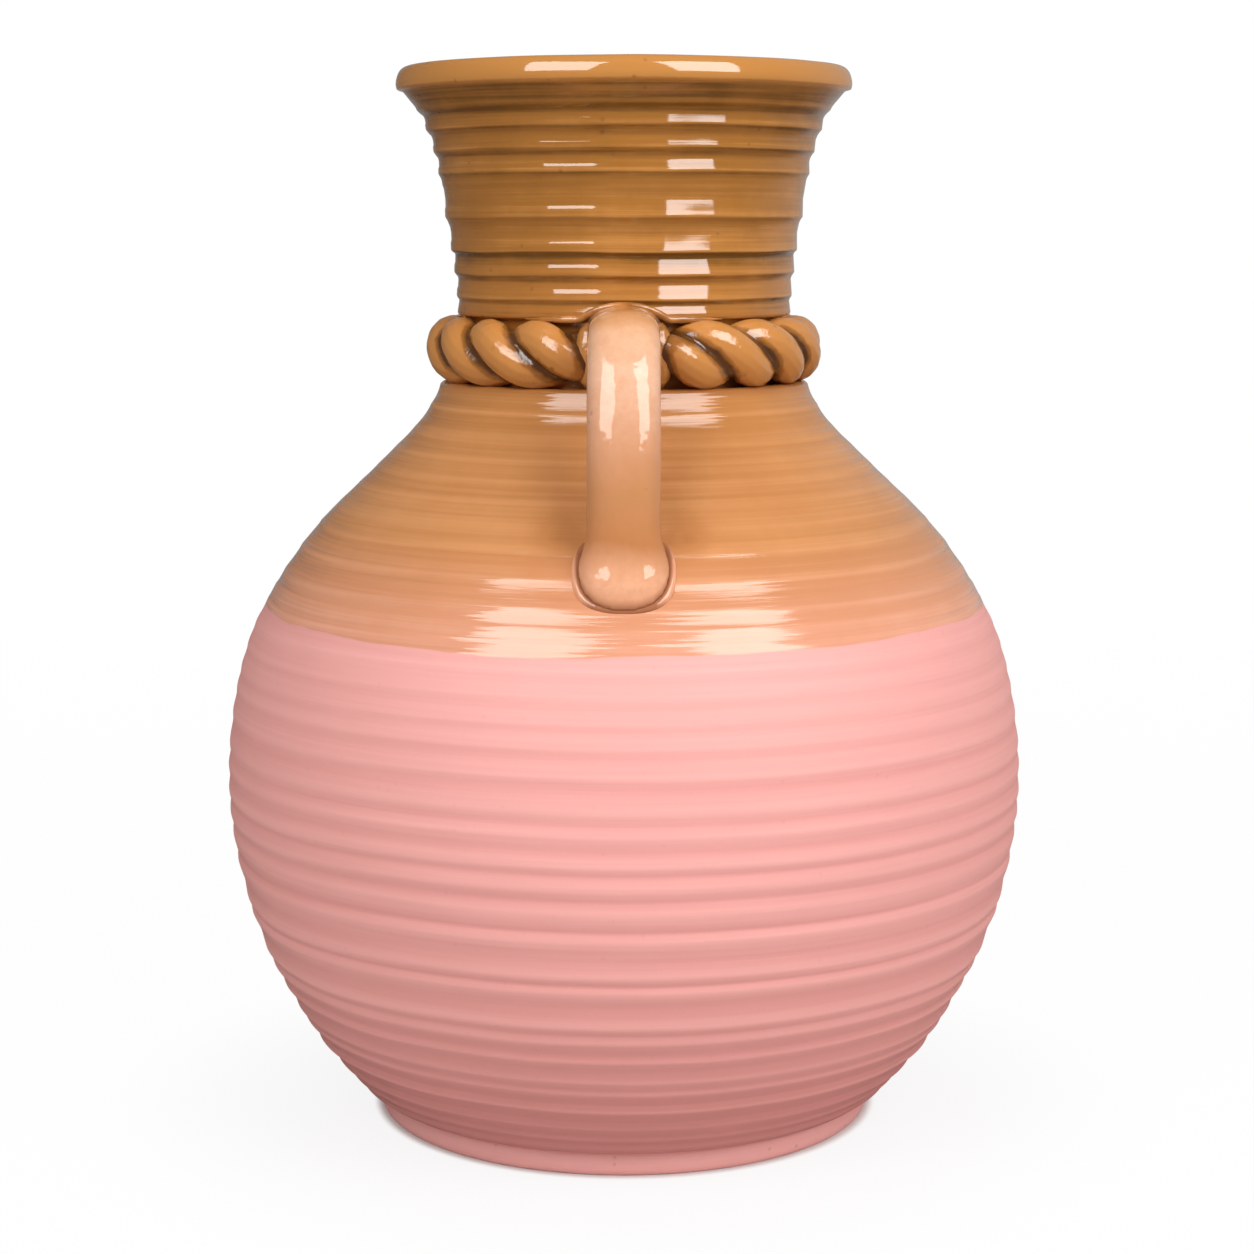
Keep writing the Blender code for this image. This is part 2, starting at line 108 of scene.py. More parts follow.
def open_merged():
    """Opens the piece the same way, and merges the points that meet."""
    open_all()
    bpy.ops.mesh.remove_doubles(threshold=0.02 * MM)


def gauge_radius(gauge, z):
    """Radius of a thrown wall at a height, on a smooth curve through its gauge readings."""
    heights, radii = np.array(gauge).T
    slopes = np.gradient(radii, heights)
    low = int(np.clip(np.searchsorted(heights, z) - 1, 0, len(heights) - 2))
    span = heights[low + 1] - heights[low]
    s = (z - heights[low]) / span
    return (
        (2 * s**3 - 3 * s**2 + 1) * radii[low]
        + (s**3 - 2 * s**2 + s) * span * slopes[low]
        + (3 * s**2 - 2 * s**3) * radii[low + 1]
        + (s**3 - s**2) * span * slopes[low + 1]
    )


def ease(s, start, end):
    """A smooth way from 0 to 1 as s runs from 0 to 1, with these slopes at its two ends."""
    return 3 * s**2 - 2 * s**3 + start * (s**3 - 2 * s**2 + s) + end * (s**3 - s**2)


def ring_depth(rings, z):
    """How deep a height lies in the grooves, below the line over the rings' crests."""
    groove_z, groove_depth, groove_sharp = rings[0][0] - 3, 0, 0
    for crest, groove, depth, crest_sharp, sharp in rings:
        if z < crest:
            share = max(z - groove_z, 0) / (crest - groove_z)
            return groove_depth * (1 - ease(share, 2 * groove_sharp, 2 * crest_sharp))
        if z < groove:
            return depth * ease((z - crest) / (groove - crest), 2 * crest_sharp, 2 * sharp)
        groove_z, groove_depth, groove_sharp = groove, depth, sharp
    return groove_depth * max(0, 1 - ((z - groove_z) / 4) ** 2)


def read_up(reading, gauge, table, heights):
    """A reading of a gauge or of rings at many heights, by way of a close-set table of heights."""
    return np.interp(heights, table, [reading(gauge, z) for z in table])


def fade_in(values, start, run, least=0):
    """From 0, or the least, at the start to 1 a run further on; a negative run goes downwards."""
    return np.clip((values - start) / run, least, 1)


def draw_chain(name, points):
    """A line of vertices through places in mm, extruded one by one from a merged plane."""
    deselect()
    bpy.ops.mesh.primitive_plane_add(size=MM, location=Vector(points[0]) * MM)
    obj = bpy.context.object
    obj.name = name
    bpy.ops.object.transform_apply()
    open_all()
    bpy.ops.mesh.merge(type="CENTER")
    for here, there in zip(points, points[1:]):
        step = (Vector(there) - Vector(here)) * MM
        bpy.ops.mesh.extrude_vertices_move(TRANSFORM_OT_translate={"value": step})
    bpy.ops.object.mode_set(mode="OBJECT")
    return obj


def draw_outline(name, outline):
    """A section in the XZ plane, as pairs of radius and height in mm."""
    return draw_chain(name, [(radius, 0, z) for radius, z in outline])


def turn_on_wheel(turns):
    """Spins the outline just drawn once round the wheel's axis into a closed wall."""
    open_merged()
    bpy.ops.mesh.spin(steps=turns, angle=math.tau, center=(0, 0, 0), axis=(0, 0, 1))
    open_merged()
    bpy.ops.mesh.normals_make_consistent(inside=False)
    bpy.ops.object.mode_set(mode="OBJECT")
    bpy.ops.object.shade_smooth()


def points_of(obj):
    """The piece's vertices as an array, in mm."""
    places = np.zeros(len(obj.data.vertices) * 3)
    obj.data.vertices.foreach_get("co", places)
    return places.reshape(-1, 3) / MM


def write_measure(obj, name, values):
    """Keeps one number for each vertex, which the finish reads as an attribute."""
    measure = obj.data.attributes.new(name, "FLOAT", "POINT")
    measure.data.foreach_set("value", np.asarray(values, np.float32))


def apply_modifier(obj, kind, **settings):
    """Gives a piece one modifier with these settings, and applies it."""
    made = obj.modifiers.new(kind, kind)
    for setting, value in settings.items():
        setattr(made, setting, value)
    bpy.context.view_layer.objects.active = obj
    bpy.ops.object.modifier_apply(modifier=made.name)


def move_clay(obj, name, weights, **settings):
    """Moves the clay by a displacement that is weighted for each vertex."""
    group = obj.vertex_groups.new(name=name)
    levels = np.round(weights, 2)
    for level in np.unique(levels):
        if level > 0:
            group.add(np.flatnonzero(levels == level).tolist(), float(level), "REPLACE")
    apply_modifier(obj, "DISPLACE", vertex_group=name, **settings)
    obj.vertex_groups.clear()


def let_wander(obj, name, weights, size, strength, direction):
    """Lets the clay wander from the true circle: a cloud of this size moves it by this much, both in mm."""
    cloud = bpy.data.textures.new(name, "CLOUDS")
    cloud.noise_scale = size * MM
    cloud.noise_depth = 1
    move_clay(
        obj, name, weights, texture=cloud, texture_coords="LOCAL", direction=direction,
        strength=strength * MM, mid_level=0.5,
    )


def press_in(obj, name, weights, depth):
    """Presses the wall in along its normals by up to this many mm."""
    move_clay(obj, name, weights, direction="NORMAL", strength=-depth * MM, mid_level=0.0)


def body_outline():
    """The jar's section from the middle of its underside, up the outside and down the inside."""
    outside = [
        (gauge_radius(BODY_GAUGE, z) - ring_depth(BODY_RINGS, z), z) for z in np.arange(11.6, 253.6, 0.64)
    ]
    inside = []
    for z in np.arange(246.0, 24.0, -4.0):
        slope = (gauge_radius(BODY_GAUGE, z + 1) - gauge_radius(BODY_GAUGE, z - 1)) / 2
        lean = math.hypot(1, slope)
        radius = gauge_radius(BODY_GAUGE, z) - WALL / lean
        wave = INSIDE_RING_DEPTH * math.sin(z * math.tau / INSIDE_RING_PITCH)
        inner_z = z + WALL * slope / lean
        if radius > 47.5 and FLOOR_TOP + 5 < inner_z < 249:
            inside.append((radius + wave, inner_z))
    under = [(0, 9.1), (60, 9.1), (88.0, 9.1), (90.4, 9.3), (91.5, 10.2)]
    ledge = [
        (62.3, 254.2), (60.8, 254.7), (58, 254.6), (54.6, 254.3), (54.2, 256), (54, 265.2),
        (50.6, 265.4), (50.3, 273),
    ]
    collar = [(49.6, 273.6), (47.6, 273.4), (47, 272.6), (47, 262), (47.4, 252)]
    floor = [(84.5, 22.5), (80.5, 19.0), (74, FLOOR_TOP), (40, FLOOR_TOP), (0, FLOOR_TOP)]
    return under + outside + ledge + collar + inside + floor


body = draw_outline("body_thrown", body_outline())
turn_on_wheel(BODY_TURNS)
places = points_of(body)
heights = places[:, 2]
radii = np.hypot(places[:, 0], places[:, 1])
table = np.arange(8, 262, 0.2)
wall_line = read_up(gauge_radius, BODY_GAUGE, table, heights)
is_inside = (radii < wall_line - WALL / 2) & (heights > 15)
is_inside |= (radii < COLLAR_RADIUS) & (heights > 240)
# The measure holds the rings' grooves (pooled glaze where glazed, painted shade on bare clay), a painted
# shadow line under the rope, and a painted shadow spot beside each handle's foot, partly pooled glaze.
pooling_and_shade = read_up(ring_depth, BODY_RINGS, table, heights) / BRIM_FULL_GROOVE
pooling_and_shade += 1.3 * fade_in(heights, ROPE_SHADE_Z, 2)
for side in (-1, 1):
    across = (places[:, 0] - side * SHADOW_POOL_PLACE[0]) / SHADOW_POOL_SPREAD[0]
    up = (heights - SHADOW_POOL_PLACE[1]) / SHADOW_POOL_SPREAD[1]
    pooling_and_shade += np.exp(-(across**2 + up**2))
write_measure(body, "pooling_and_shade", np.where(is_inside, 0.3, pooling_and_shade))
write_measure(body, "inside", is_inside)
free = np.where(is_inside, 0, fade_in(heights, 14, 12) * fade_in(heights, 248, -14))
let_wander(body, "ring_drift", free, 90, 1.9, "Z")
let_wander(body, "hand_pressure", free, 26, 0.35, "NORMAL")


def add_node(tree, kind, sockets=None, **settings):
    """One node with its settings, its fixed values and the links that feed it."""
    made = tree.nodes.new(kind)
    for setting, value in settings.items():
        setattr(made, setting, value)
    for socket, value in (sockets or {}).items():
        if isinstance(value, bpy.types.NodeSocket):
            tree.links.new(value, made.inputs[socket])
        else:
            made.inputs[socket].default_value = value
    return made


def reckon(tree, operation, *values, clamp=False):
    """A sum on plain numbers; MULTIPLY_ADD is the first value times the second, plus the third."""
    made = add_node(tree, "ShaderNodeMath", dict(enumerate(values)), operation=operation, use_clamp=clamp)
    return made.outputs["Value"]


def reckon_vectors(tree, operation, *values, gives="Vector"):
    """A sum on places or directions."""
    made = add_node(tree, "ShaderNodeVectorMath", dict(enumerate(values)), operation=operation)
    return made.outputs[gives]


def remap(tree, value, start, end, low=0.0, high=1.0, smooth=False):
    """The value's way from start to end, as a way from low to high that stops at both."""
    made = add_node(tree, "ShaderNodeMapRange", {
        "Value": value, "From Min": start, "From Max": end, "To Min": low, "To Max": high,
    }, interpolation_type="SMOOTHSTEP" if smooth else "LINEAR")
    return made.outputs["Result"]


def blend_colours(tree, share, first, second):
    """A colour between two others; a Mix node's colour sockets come after its plain ones."""
    return add_node(tree, "ShaderNodeMix", {0: share, 6: first, 7: second}, data_type="RGBA").outputs[2]


def colour_run(tree, share, stops):
    """A colour ramp through these stops, from one at 0 to one at 1."""
    run = add_node(tree, "ShaderNodeValToRGB", {"Fac": share})
    ends = run.color_ramp.elements
    ends[0].color, ends[1].color = stops[0][1], stops[-1][1]
    for position, colour in stops[1:-1]:
        run.color_ramp.elements.new(position).color = colour
    return run.outputs["Color"]


def object_place(tree):
    return add_node(tree, "ShaderNodeTexCoord").outputs["Object"]


def object_height(tree):
    return add_node(tree, "ShaderNodeSeparateXYZ", {"Vector": object_place(tree)}).outputs["Z"]


def read_measure(tree, name):
    return add_node(tree, "ShaderNodeAttribute", attribute_name=name).outputs["Fac"]


def add_noise(tree, place, scale, detail, roughness=0.5):
    made = add_node(tree, "ShaderNodeTexNoise", {
        "Vector": place, "Scale": scale, "Detail": detail, "Roughness": roughness,
    })
    return made.outputs["Fac"]


def level_streaks(tree, run, per_metre, detail):
    """Noise drawn out level round the pot: long streaks, close above each other."""
    stretch = add_node(tree, "ShaderNodeCombineXYZ", {"X": run, "Y": run, "Z": per_metre})
    drawn_out = reckon_vectors(tree, "MULTIPLY", object_place(tree), stretch.outputs["Vector"])
    return add_noise(tree, drawn_out, 1.0, detail, 0.6)


def start_effect(name, inputs, outputs):
    """A shared surface effect: its group, and what a material gives it."""
    group = bpy.data.node_groups.new(name, "ShaderNodeTree")
    for socket, value in inputs.items():
        kind = "NodeSocketColor" if isinstance(value, tuple) else "NodeSocketFloat"
        made = group.interface.new_socket(socket, in_out="INPUT", socket_type=kind)
        made.default_value = value
    for socket in outputs:
        kind = {"Color": "NodeSocketColor", "Normal": "NodeSocketVector"}.get(socket, "NodeSocketFloat")
        group.interface.new_socket(socket, in_out="OUTPUT", socket_type=kind)
    return group, group.nodes.new("NodeGroupInput").outputs


def add_effect(tree, group, sockets):
    """Places a shared effect in a material with that material's own values, and gives its outputs."""
    return add_node(tree, "ShaderNodeGroup", sockets, node_tree=group).outputs


def make_wheel_lines():
    """Fine lines that fingers and sponge drew round the turning clay, centred on 0.5."""
    group, given = start_effect("wheel_lines", {"Lines per metre": 900.0, "Run": 7.0}, ["Tone"])
    streaks = level_streaks(group, given["Run"], given["Lines per metre"], 4.0)
    add_node(group, "NodeGroupOutput", {"Tone": streaks})
    return group


def make_clay_grain():
    """Sand and grog in bare or thinly glazed clay: a fine mottle, and a scatter of darker specks."""
    group, given = start_effect(
        "clay_grain", {"Grains per metre": 1500.0, "Specks per metre": 420.0}, ["Tone", "Specks"]
    )
    place = object_place(group)
    mottle = add_noise(group, place, given["Grains per metre"], 3.0, 0.7)
    cells = add_node(group, "ShaderNodeTexVoronoi", {
        "Vector": place, "Scale": given["Specks per metre"],
    }).outputs
    dot = remap(group, cells["Distance"], 0.12, 0.3, 1.0, 0.0)
    draw = add_node(group, "ShaderNodeSeparateColor", {"Color": cells["Color"]}).outputs["Red"]
    few = reckon(group, "GREATER_THAN", draw, 0.93)
    add_node(group, "NodeGroupOutput", {"Tone": mottle, "Specks": reckon(group, "MULTIPLY", dot, few)})
    return group


def make_pooled_glaze():
    """Runny glaze: thin and bright where it drained off an edge, thick and dark where it gathered and where
    painted shade is fed in with the pooling.
    """
    group, given = start_effect("pooled_glaze", {
        "Thin": (0.8, 0.4, 0.2, 1), "Middle": (0.5, 0.2, 0.06, 1), "Thick": (0.2, 0.08, 0.02, 1),
        "Pooling and shade": 0.5, "Clouds per metre": 60.0, "Cloudiness": 0.3,
    }, ["Color"])
    cloud = add_noise(group, object_place(group), given["Clouds per metre"], 4.0, 0.6)
    cloud = reckon(group, "SUBTRACT", cloud, 0.5)
    thickness = reckon(group, "MULTIPLY_ADD", cloud, given["Cloudiness"], given["Pooling and shade"], clamp=True)
    to_middle = remap(group, thickness, 0.0, 0.45, smooth=True)
    to_thick = remap(group, thickness, 0.45, 1.0, smooth=True)
    colour = blend_colours(group, to_middle, given["Thin"], given["Middle"])
    colour = blend_colours(group, to_thick, colour, given["Thick"])
    add_node(group, "NodeGroupOutput", {"Color": colour})
    return group


def make_combed_normal():
    """The surface as a brush combed it while it turned: each level streak faces a little to one side."""
    group, given = start_effect("combed_normal", {
        "Streaks per metre": 1200.0, "Run": 14.0, "Amount": 0.05,
    }, ["Normal"])
    streaks = level_streaks(group, given["Run"], given["Streaks per metre"], 2.0)
    turned = reckon(group, "MULTIPLY", reckon(group, "SUBTRACT", streaks, 0.5), given["Amount"])
    surface = add_node(group, "ShaderNodeNewGeometry").outputs["Normal"]
    round_the_wheel = reckon_vectors(group, "CROSS_PRODUCT", surface, (0, 0, 1))
    push = reckon_vectors(group, "MULTIPLY", round_the_wheel, turned)
    combed = reckon_vectors(group, "NORMALIZE", reckon_vectors(group, "ADD", surface, push))
    add_node(group, "NodeGroupOutput", {"Normal": combed})
    return group


def start_finish(name, roughness, gloss):
    """A new ceramic finish: its node tree and its shader. Gloss is the glaze's refractive index."""
    finish = bpy.data.materials.new(name)
    finish.use_nodes = True
    shader = finish.node_tree.nodes["Principled BSDF"]
    shader.inputs["Roughness"].default_value = roughness
    shader.inputs["IOR"].default_value = gloss
    return finish, finish.node_tree, shader


def scatter_specks(tree, grain, share, colour, speck):
    """Dark specks of the clay's grain that show through a colour, by this share."""
    return blend_colours(tree, reckon(tree, "MULTIPLY", grain["Specks"], share), colour, speck)


def give_surface(tree, shader, colour, relief, strength, depth, **under):
    """Feeds a finish's colour and its relief, whose depth is in mm, to its shader."""
    tree.links.new(colour, shader.inputs["Base Color"])
    bump = add_node(tree, "ShaderNodeBump", {
        "Height": relief, "Strength": strength, "Distance": depth * MM, **under,
    })
    tree.links.new(bump.outputs["Normal"], shader.inputs["Normal"])


def dress(obj, finish):
    obj.data.materials.clear()
    obj.data.materials.append(finish)


WHEEL_LINES = make_wheel_lines()
CLAY_GRAIN = make_clay_grain()
POOLED_GLAZE = make_pooled_glaze()
COMBED_NORMAL = make_combed_normal()


def make_body_finish():
    """Bare pink stoneware below the glaze line; above it a glaze that runs from peach into amber."""
    finish, tree, shader = start_finish("pink_clay_glazed_shoulder", 0.6, 1.6)
    height = object_height(tree)
    pooling_and_shade = read_measure(tree, "pooling_and_shade")
    drift = add_noise(tree, object_place(tree), 11.0, 3.0)
    line = reckon(tree, "MULTIPLY_ADD", drift, 8 * MM, height)
    edge = (GLAZE_LINE + 4) * MM
    dipped = remap(tree, line, edge - 0.4 * MM, edge + 0.5 * MM, smooth=True)
    glazed = reckon(tree, "MAXIMUM", dipped, read_measure(tree, "inside"))

    lines = add_effect(tree, WHEEL_LINES, {"Lines per metre": 620.0, "Run": 5.0})["Tone"]
    fine_lines = add_effect(tree, WHEEL_LINES, {"Lines per metre": 1900.0, "Run": 16.0})["Tone"]
    brush_lines = add_effect(tree, WHEEL_LINES, {"Lines per metre": 760.0, "Run": 4.0})["Tone"]
    grain = add_effect(tree, CLAY_GRAIN, {"Grains per metre": 1300.0, "Specks per metre": 330.0})

    # Painted shade and highlight on the bare clay: darker in the grooves, lighter on the crests, over the
    # wheel lines' own tone.
    groove_shade_and_lines = reckon(tree, "MULTIPLY_ADD", pooling_and_shade, -0.5, remap(tree, lines, -0.06, 0.94), clamp=True)
    clay = blend_colours(tree, groove_shade_and_lines, CLAY_SHADED_IN_GROOVES, CLAY_LIT_ON_CRESTS)
    clay = blend_colours(tree, remap(tree, grain["Tone"], 0.62, 0.75, high=0.35), clay, CLAY_MOTTLE)
    clay = scatter_specks(tree, grain, 0.08, clay, GROG)
    # Painted shade: the clay darkens towards the foot, on the underside of the belly.
    clay = blend_colours(tree, remap(tree, height, 10 * MM, 62 * MM, 0.72, 0.0), clay, CLAY_SHADED_NEAR_FOOT)

    climb = remap(tree, height, 178 * MM, 252 * MM)
    brush = remap(tree, brush_lines, 0.3, 0.7, 0.05, 0.27)
    # The glaze goes towards its pooled colour where glaze pooled in the grooves, and where painted shadow
    # lies under the rope and beside the handles.
    coat = add_effect(tree, POOLED_GLAZE, {
        "Thin": colour_run(tree, climb, SHOULDER_THIN), "Middle": colour_run(tree, climb, SHOULDER_FULL),
        "Thick": SHOULDER_POOLED_AND_SHADED, "Pooling and shade": reckon(tree, "MULTIPLY_ADD", pooling_and_shade, 0.45, brush),
        "Clouds per metre": 22.0, "Cloudiness": 0.5,
    })
    colour = blend_colours(tree, glazed, clay, coat["Color"])
    tree.links.new(remap(tree, glazed, 0.0, 1.0, 0.62, 0.07), shader.inputs["Roughness"])

    tool_marks = reckon(tree, "MULTIPLY_ADD", fine_lines, 0.45, lines)
    relief = reckon(tree, "MULTIPLY", tool_marks, remap(tree, glazed, 0.0, 1.0, 1.0, 1.6))
    grain_share = remap(tree, glazed, 0.0, 1.0, 0.35, 0.0)
    relief = reckon(tree, "MULTIPLY_ADD", grain["Tone"], grain_share, relief)
    relief = reckon(tree, "MULTIPLY_ADD", dipped, 0.8, relief)
    combed = add_effect(tree, COMBED_NORMAL, {"Amount": reckon(tree, "MULTIPLY", dipped, 0.5)})
    give_surface(tree, shader, colour, relief, 0.5, 0.11, Normal=combed["Normal"])
    return finish


dress(body, make_body_finish())
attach(body, "root")
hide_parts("body")


# ---------------------------------------
# Foot ring. A low ring of the same clay, turned smooth with a tool under the
# body's step. It is the paler band that the vase stands on, left bare.

FOOT_OUTLINE = (
    (69.9, 8.8), (70.6, 5.2), (71.4, 1.4), (72.0, 0.35), (73.0, 0.0), (76, 0.0), (80, 0.0), (84.0, 0.0),
    (84.9, 0.15), (85.5, 0.6), (85.9, 1.4), (86.3, 2.6), (86.65, 4.2), (86.85, 5.8), (86.95, 7.2),
    (87.0, 8.75), (80, 8.8), (69.9, 8.8),
)
FOOT_CLAY_DARK = (1.0, 0.46, 0.425, 1)
FOOT_CLAY_PALE = (1.0, 0.52, 0.485, 1)


def make_foot_finish():
    """Bare clay, sponged smooth, with the fine lines of the turning tool."""
    finish, tree, shader = start_finish("foot_clay_sponged", 0.62, 1.45)
    lines = add_effect(tree, WHEEL_LINES, {"Lines per metre": 900.0, "Run": 6.0})["Tone"]
    grain = add_effect(tree, CLAY_GRAIN, {"Grains per metre": 1300.0, "Specks per metre": 330.0})
    clay = blend_colours(tree, remap(tree, lines, 0.3, 0.7), FOOT_CLAY_DARK, FOOT_CLAY_PALE)
    clay = scatter_specks(tree, grain, 0.3, clay, GROG)
    give_surface(tree, shader, clay, reckon(tree, "MULTIPLY_ADD", grain["Tone"], 0.5, lines), 0.5, 0.15)
    return finish


foot = draw_outline("foot_turned", FOOT_OUTLINE)
turn_on_wheel(BODY_TURNS)
dress(foot, make_foot_finish())
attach(foot, "root")
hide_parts("foot_ring")


# ---------------------------------------
# Neck. A second thrown tube, stood on the body's collar in a rebate: stepped
# finger rings, a flare at the top, and a lip rolled over by the thumb. All of
# it was dipped in amber glaze, which drained off the edges into the ledges.

NECK_GAUGE = (
    (276.9, 57.0), (282, 57.15), (288, 57.7), (294, 58.4), (300, 59.2), (306, 60.2), (312, 61.1),
    (318, 62.0), (324, 62.9), (330, 64.2), (336, 66.0), (340, 67.5), (344, 69.2), (347, 71.0),
    (350, 73.3), (352, 75.0), (353.4, 76.4),
)
# Each band leans in above its sharp lower edge, then stands upright to the ledge under the
# next one: height of its lower edge, of the end of its lean, the lean's depth in mm, and how
# dark the glaze lies under the ledge above it
NECK_RINGS = (
    (277.2, 281.6, 0.65, 0.45), (283.2, 288.8, 0.85, 0.25), (291.2, 297.0, 0.9, 0.7),
    (298.6, 304.6, 0.8, 0.22), (309.8, 315.8, 0.75, 0.3), (324.2, 328.4, 0.75, 0.35),
    (331.6, 335.6, 0.72, 0.4), (338.9, 342.6, 0.8, 0.6), (345.4, 346.6, 0.2, 0),
)
LEDGE = 2.5
NECK_SEAT = ((50.9, 273.6), (50.8, 266.2), (51.2, 265.9), (53.4, 265.9), (53.9, 266.4), (53.9, 275.8))
NECK_STEP = ((54.6, 276.7), (56.2, 276.9), (56.8, 277.4))
LIP_CENTRE = (73.2, 355.1)
LIP_HALF_WIDTH = 3.7
LIP_HALF_HEIGHT = 4.7
LIP_SQUARENESS = 2.3
LIP_TILT = math.radians(14)
NECK_INSIDE = (
    (64.6, 347.6), (61.2, 341.0), (58.8, 335.0), (57.1, 328.0), (56.0, 322.0), (55.0, 316.0),
    (54.1, 310.0), (53.4, 304.0), (52.8, 298.0), (52.1, 292.0), (51.4, 286.0), (50.9, 280.0),
    (50.7, 275.0),
)
NECK_TURNS = 160
UNDER_LIP_Z = 344.9
LIP_BEAD_Z = 345.9
# How firmly the thumb pressed at each height, on the right of every band, and how deep at most
THUMB_HEIGHTS = (318, 323, 330, 336, 338)
THUMB_PRESS = (1.05, 0.82, 0.9, 0.92, 1.08)
THUMB_DEPTH = 1.08

AMBER_LOW = (0.455, 0.177, 0.034, 1)
AMBER_HIGH = (0.375, 0.149, 0.026, 1)
AMBER_THIN = (0.54, 0.230, 0.055, 1)
AMBER_THICK = (0.18, 0.072, 0.008, 1)
AMBER_SPECK = (0.10, 0.035, 0.01, 1)


def band_depth(rings, z):
    """How deep a height lies behind the line over the bands' lower edges."""
    groove_z, groove_depth = rings[0][0] - 1, 0
    for edge, groove, depth, _ in rings:
        if z < edge:
            under = min((edge - z) / min(LEDGE, edge - groove_z), 1)
            return groove_depth * under * (2 - under)
        if z < groove:
            return depth * (z - edge) / (groove - edge)
        groove_z, groove_depth = groove, depth
    return groove_depth * max(0, 1 - (z - groove_z) / 2)


def band_share(rings, z):
    """How far up its lean a height lies, from the band's lower edge; it falls to 0 under the next."""
    groove_z, reached = rings[0][0] - 1, 0
    for edge, groove, _, _ in rings:
        if z < edge:
            return reached * (edge - z) / (edge - groove_z)
        if z < groove:
            return (z - edge) / (groove - edge)
        groove_z, reached = groove, 1
    return 0


def glaze_gathered(rings, z):
    """Glaze lies thick under each ledge, up to 1, and drained off the edge itself, below 0."""
    for (edge, _, _, _), (_, _, _, below) in zip(rings[1:], rings):
        if z < edge:
            return below * math.exp(-max(edge - z - 0.8, 0) / 2.8)
        if z < edge + 1.6:
            return -0.12 * (1 - (z - edge) / 1.6)
    return 0


def squared_oval(half_width, half_depth, turn, squareness):
    """A point on an oval that a hand has flattened on its four sides; 2 leaves it a plain oval."""
    across, along = math.sin(turn), math.cos(turn)
    return (
        half_width * math.copysign(abs(across) ** (2 / squareness), across),
        half_depth * math.copysign(abs(along) ** (2 / squareness), along),
    )


def neck_outline():
    """The tube's section: its seat in the rebate, up the outside, over the lip and down inside."""
    wall = [
        (gauge_radius(NECK_GAUGE, z) - band_depth(NECK_RINGS, z), z) for z in np.arange(278, 352.2, 0.5)
    ]
    roll = []
    for angle in range(-44, 191, 6):
        up, out = squared_oval(LIP_HALF_HEIGHT, LIP_HALF_WIDTH, math.radians(angle), LIP_SQUARENESS)
        roll.append((
            LIP_CENTRE[0] + out * math.cos(LIP_TILT) - up * math.sin(LIP_TILT),
            LIP_CENTRE[1] + out * math.sin(LIP_TILT) + up * math.cos(LIP_TILT),
        ))
    return [*NECK_SEAT, *NECK_STEP, *wall, *roll, *NECK_INSIDE, NECK_SEAT[0]]


neck = draw_outline("neck_thrown", neck_outline())
turn_on_wheel(NECK_TURNS)
places = points_of(neck)
heights = places[:, 2]
radii = np.hypot(places[:, 0], places[:, 1])
azimuth = np.degrees(np.arctan2(places[:, 0], -places[:, 1]))
table = np.arange(264, 362, 0.1)
is_inside = (radii < read_up(gauge_radius, NECK_GAUGE, table, heights) - 3) & (heights < 350)
pooling_and_shade = read_up(glaze_gathered, NECK_RINGS, table, heights)
bead = 0.18 * np.exp(-(((heights - LIP_BEAD_Z) / 0.8) ** 2))
under_lip = np.clip((351.6 - heights) / 1.6, -0.6, 0.4 - bead)
pooling_and_shade = np.where(heights > UNDER_LIP_Z, under_lip, pooling_and_shade)
write_measure(neck, "pooling_and_shade", np.where(is_inside, 0.35, pooling_and_shade))
free = np.where(is_inside, 0, fade_in(heights, 279, 6) * fade_in(heights, 358, -10, 0.35))
pressed = read_up(band_share, NECK_RINGS, table, heights)
pressed = np.where(heights > NECK_RINGS[-1][0], 0, pressed)
right_side = fade_in(azimuth, -11, 11) * fade_in(azimuth, 95, -50)
firmness = np.interp(heights, THUMB_HEIGHTS, THUMB_PRESS) / THUMB_DEPTH
press_in(neck, "firmer_thumb", free * pressed * right_side * firmness, THUMB_DEPTH)
crossed = fade_in(pressed, 0.4, 0.22)
crossed = crossed * crossed * (3 - 2 * crossed)
press_in(neck, "thumb_edge", free * crossed * fade_in(azimuth, -2, -8), 0.3)
let_wander(neck, "band_drift", free, 45, 1.2, "Z")
let_wander(neck, "thumb_pressure", free, 18, 0.45, "NORMAL")


def make_neck_finish():
    """Glossy amber glaze in level streaks, paler low on the neck where the dip ran thin."""
    finish, tree, shader = start_finish("amber_glaze_dipped", 0.06, 1.75)
    lines = add_effect(tree, WHEEL_LINES, {"Lines per metre": 700.0, "Run": 9.0})["Tone"]
    grain = add_effect(tree, CLAY_GRAIN, {"Grains per metre": 900.0, "Specks per metre": 300.0})
    streak = remap(tree, lines, 0.3, 0.7, 0.12, 0.56)
    climb = remap(tree, object_height(tree), 276 * MM, 316 * MM, smooth=True)
    coat = add_effect(tree, POOLED_GLAZE, {
        "Thin": AMBER_THIN, "Middle": blend_colours(tree, climb, AMBER_LOW, AMBER_HIGH),
        "Thick": AMBER_THICK, "Pooling and shade": reckon(tree, "ADD", read_measure(tree, "pooling_and_shade"), streak),
        "Clouds per metre": 45.0, "Cloudiness": 0.6,
    })
    colour = scatter_specks(tree, grain, 0.35, coat["Color"], AMBER_SPECK)
    give_surface(tree, shader, colour, lines, 0.15, 0.1)
    return finish


dress(neck, make_neck_finish())
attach(neck, "root")
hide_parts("neck")


# ---------------------------------------
# Rope. Two coils of soft clay, rolled by hand and laid round each other, then
# pressed against the throat on the body's ledge, in a right and a left half
# between the handles. The glaze ran off the lobes and pooled between them, and
# painted shade darkens the creases further.

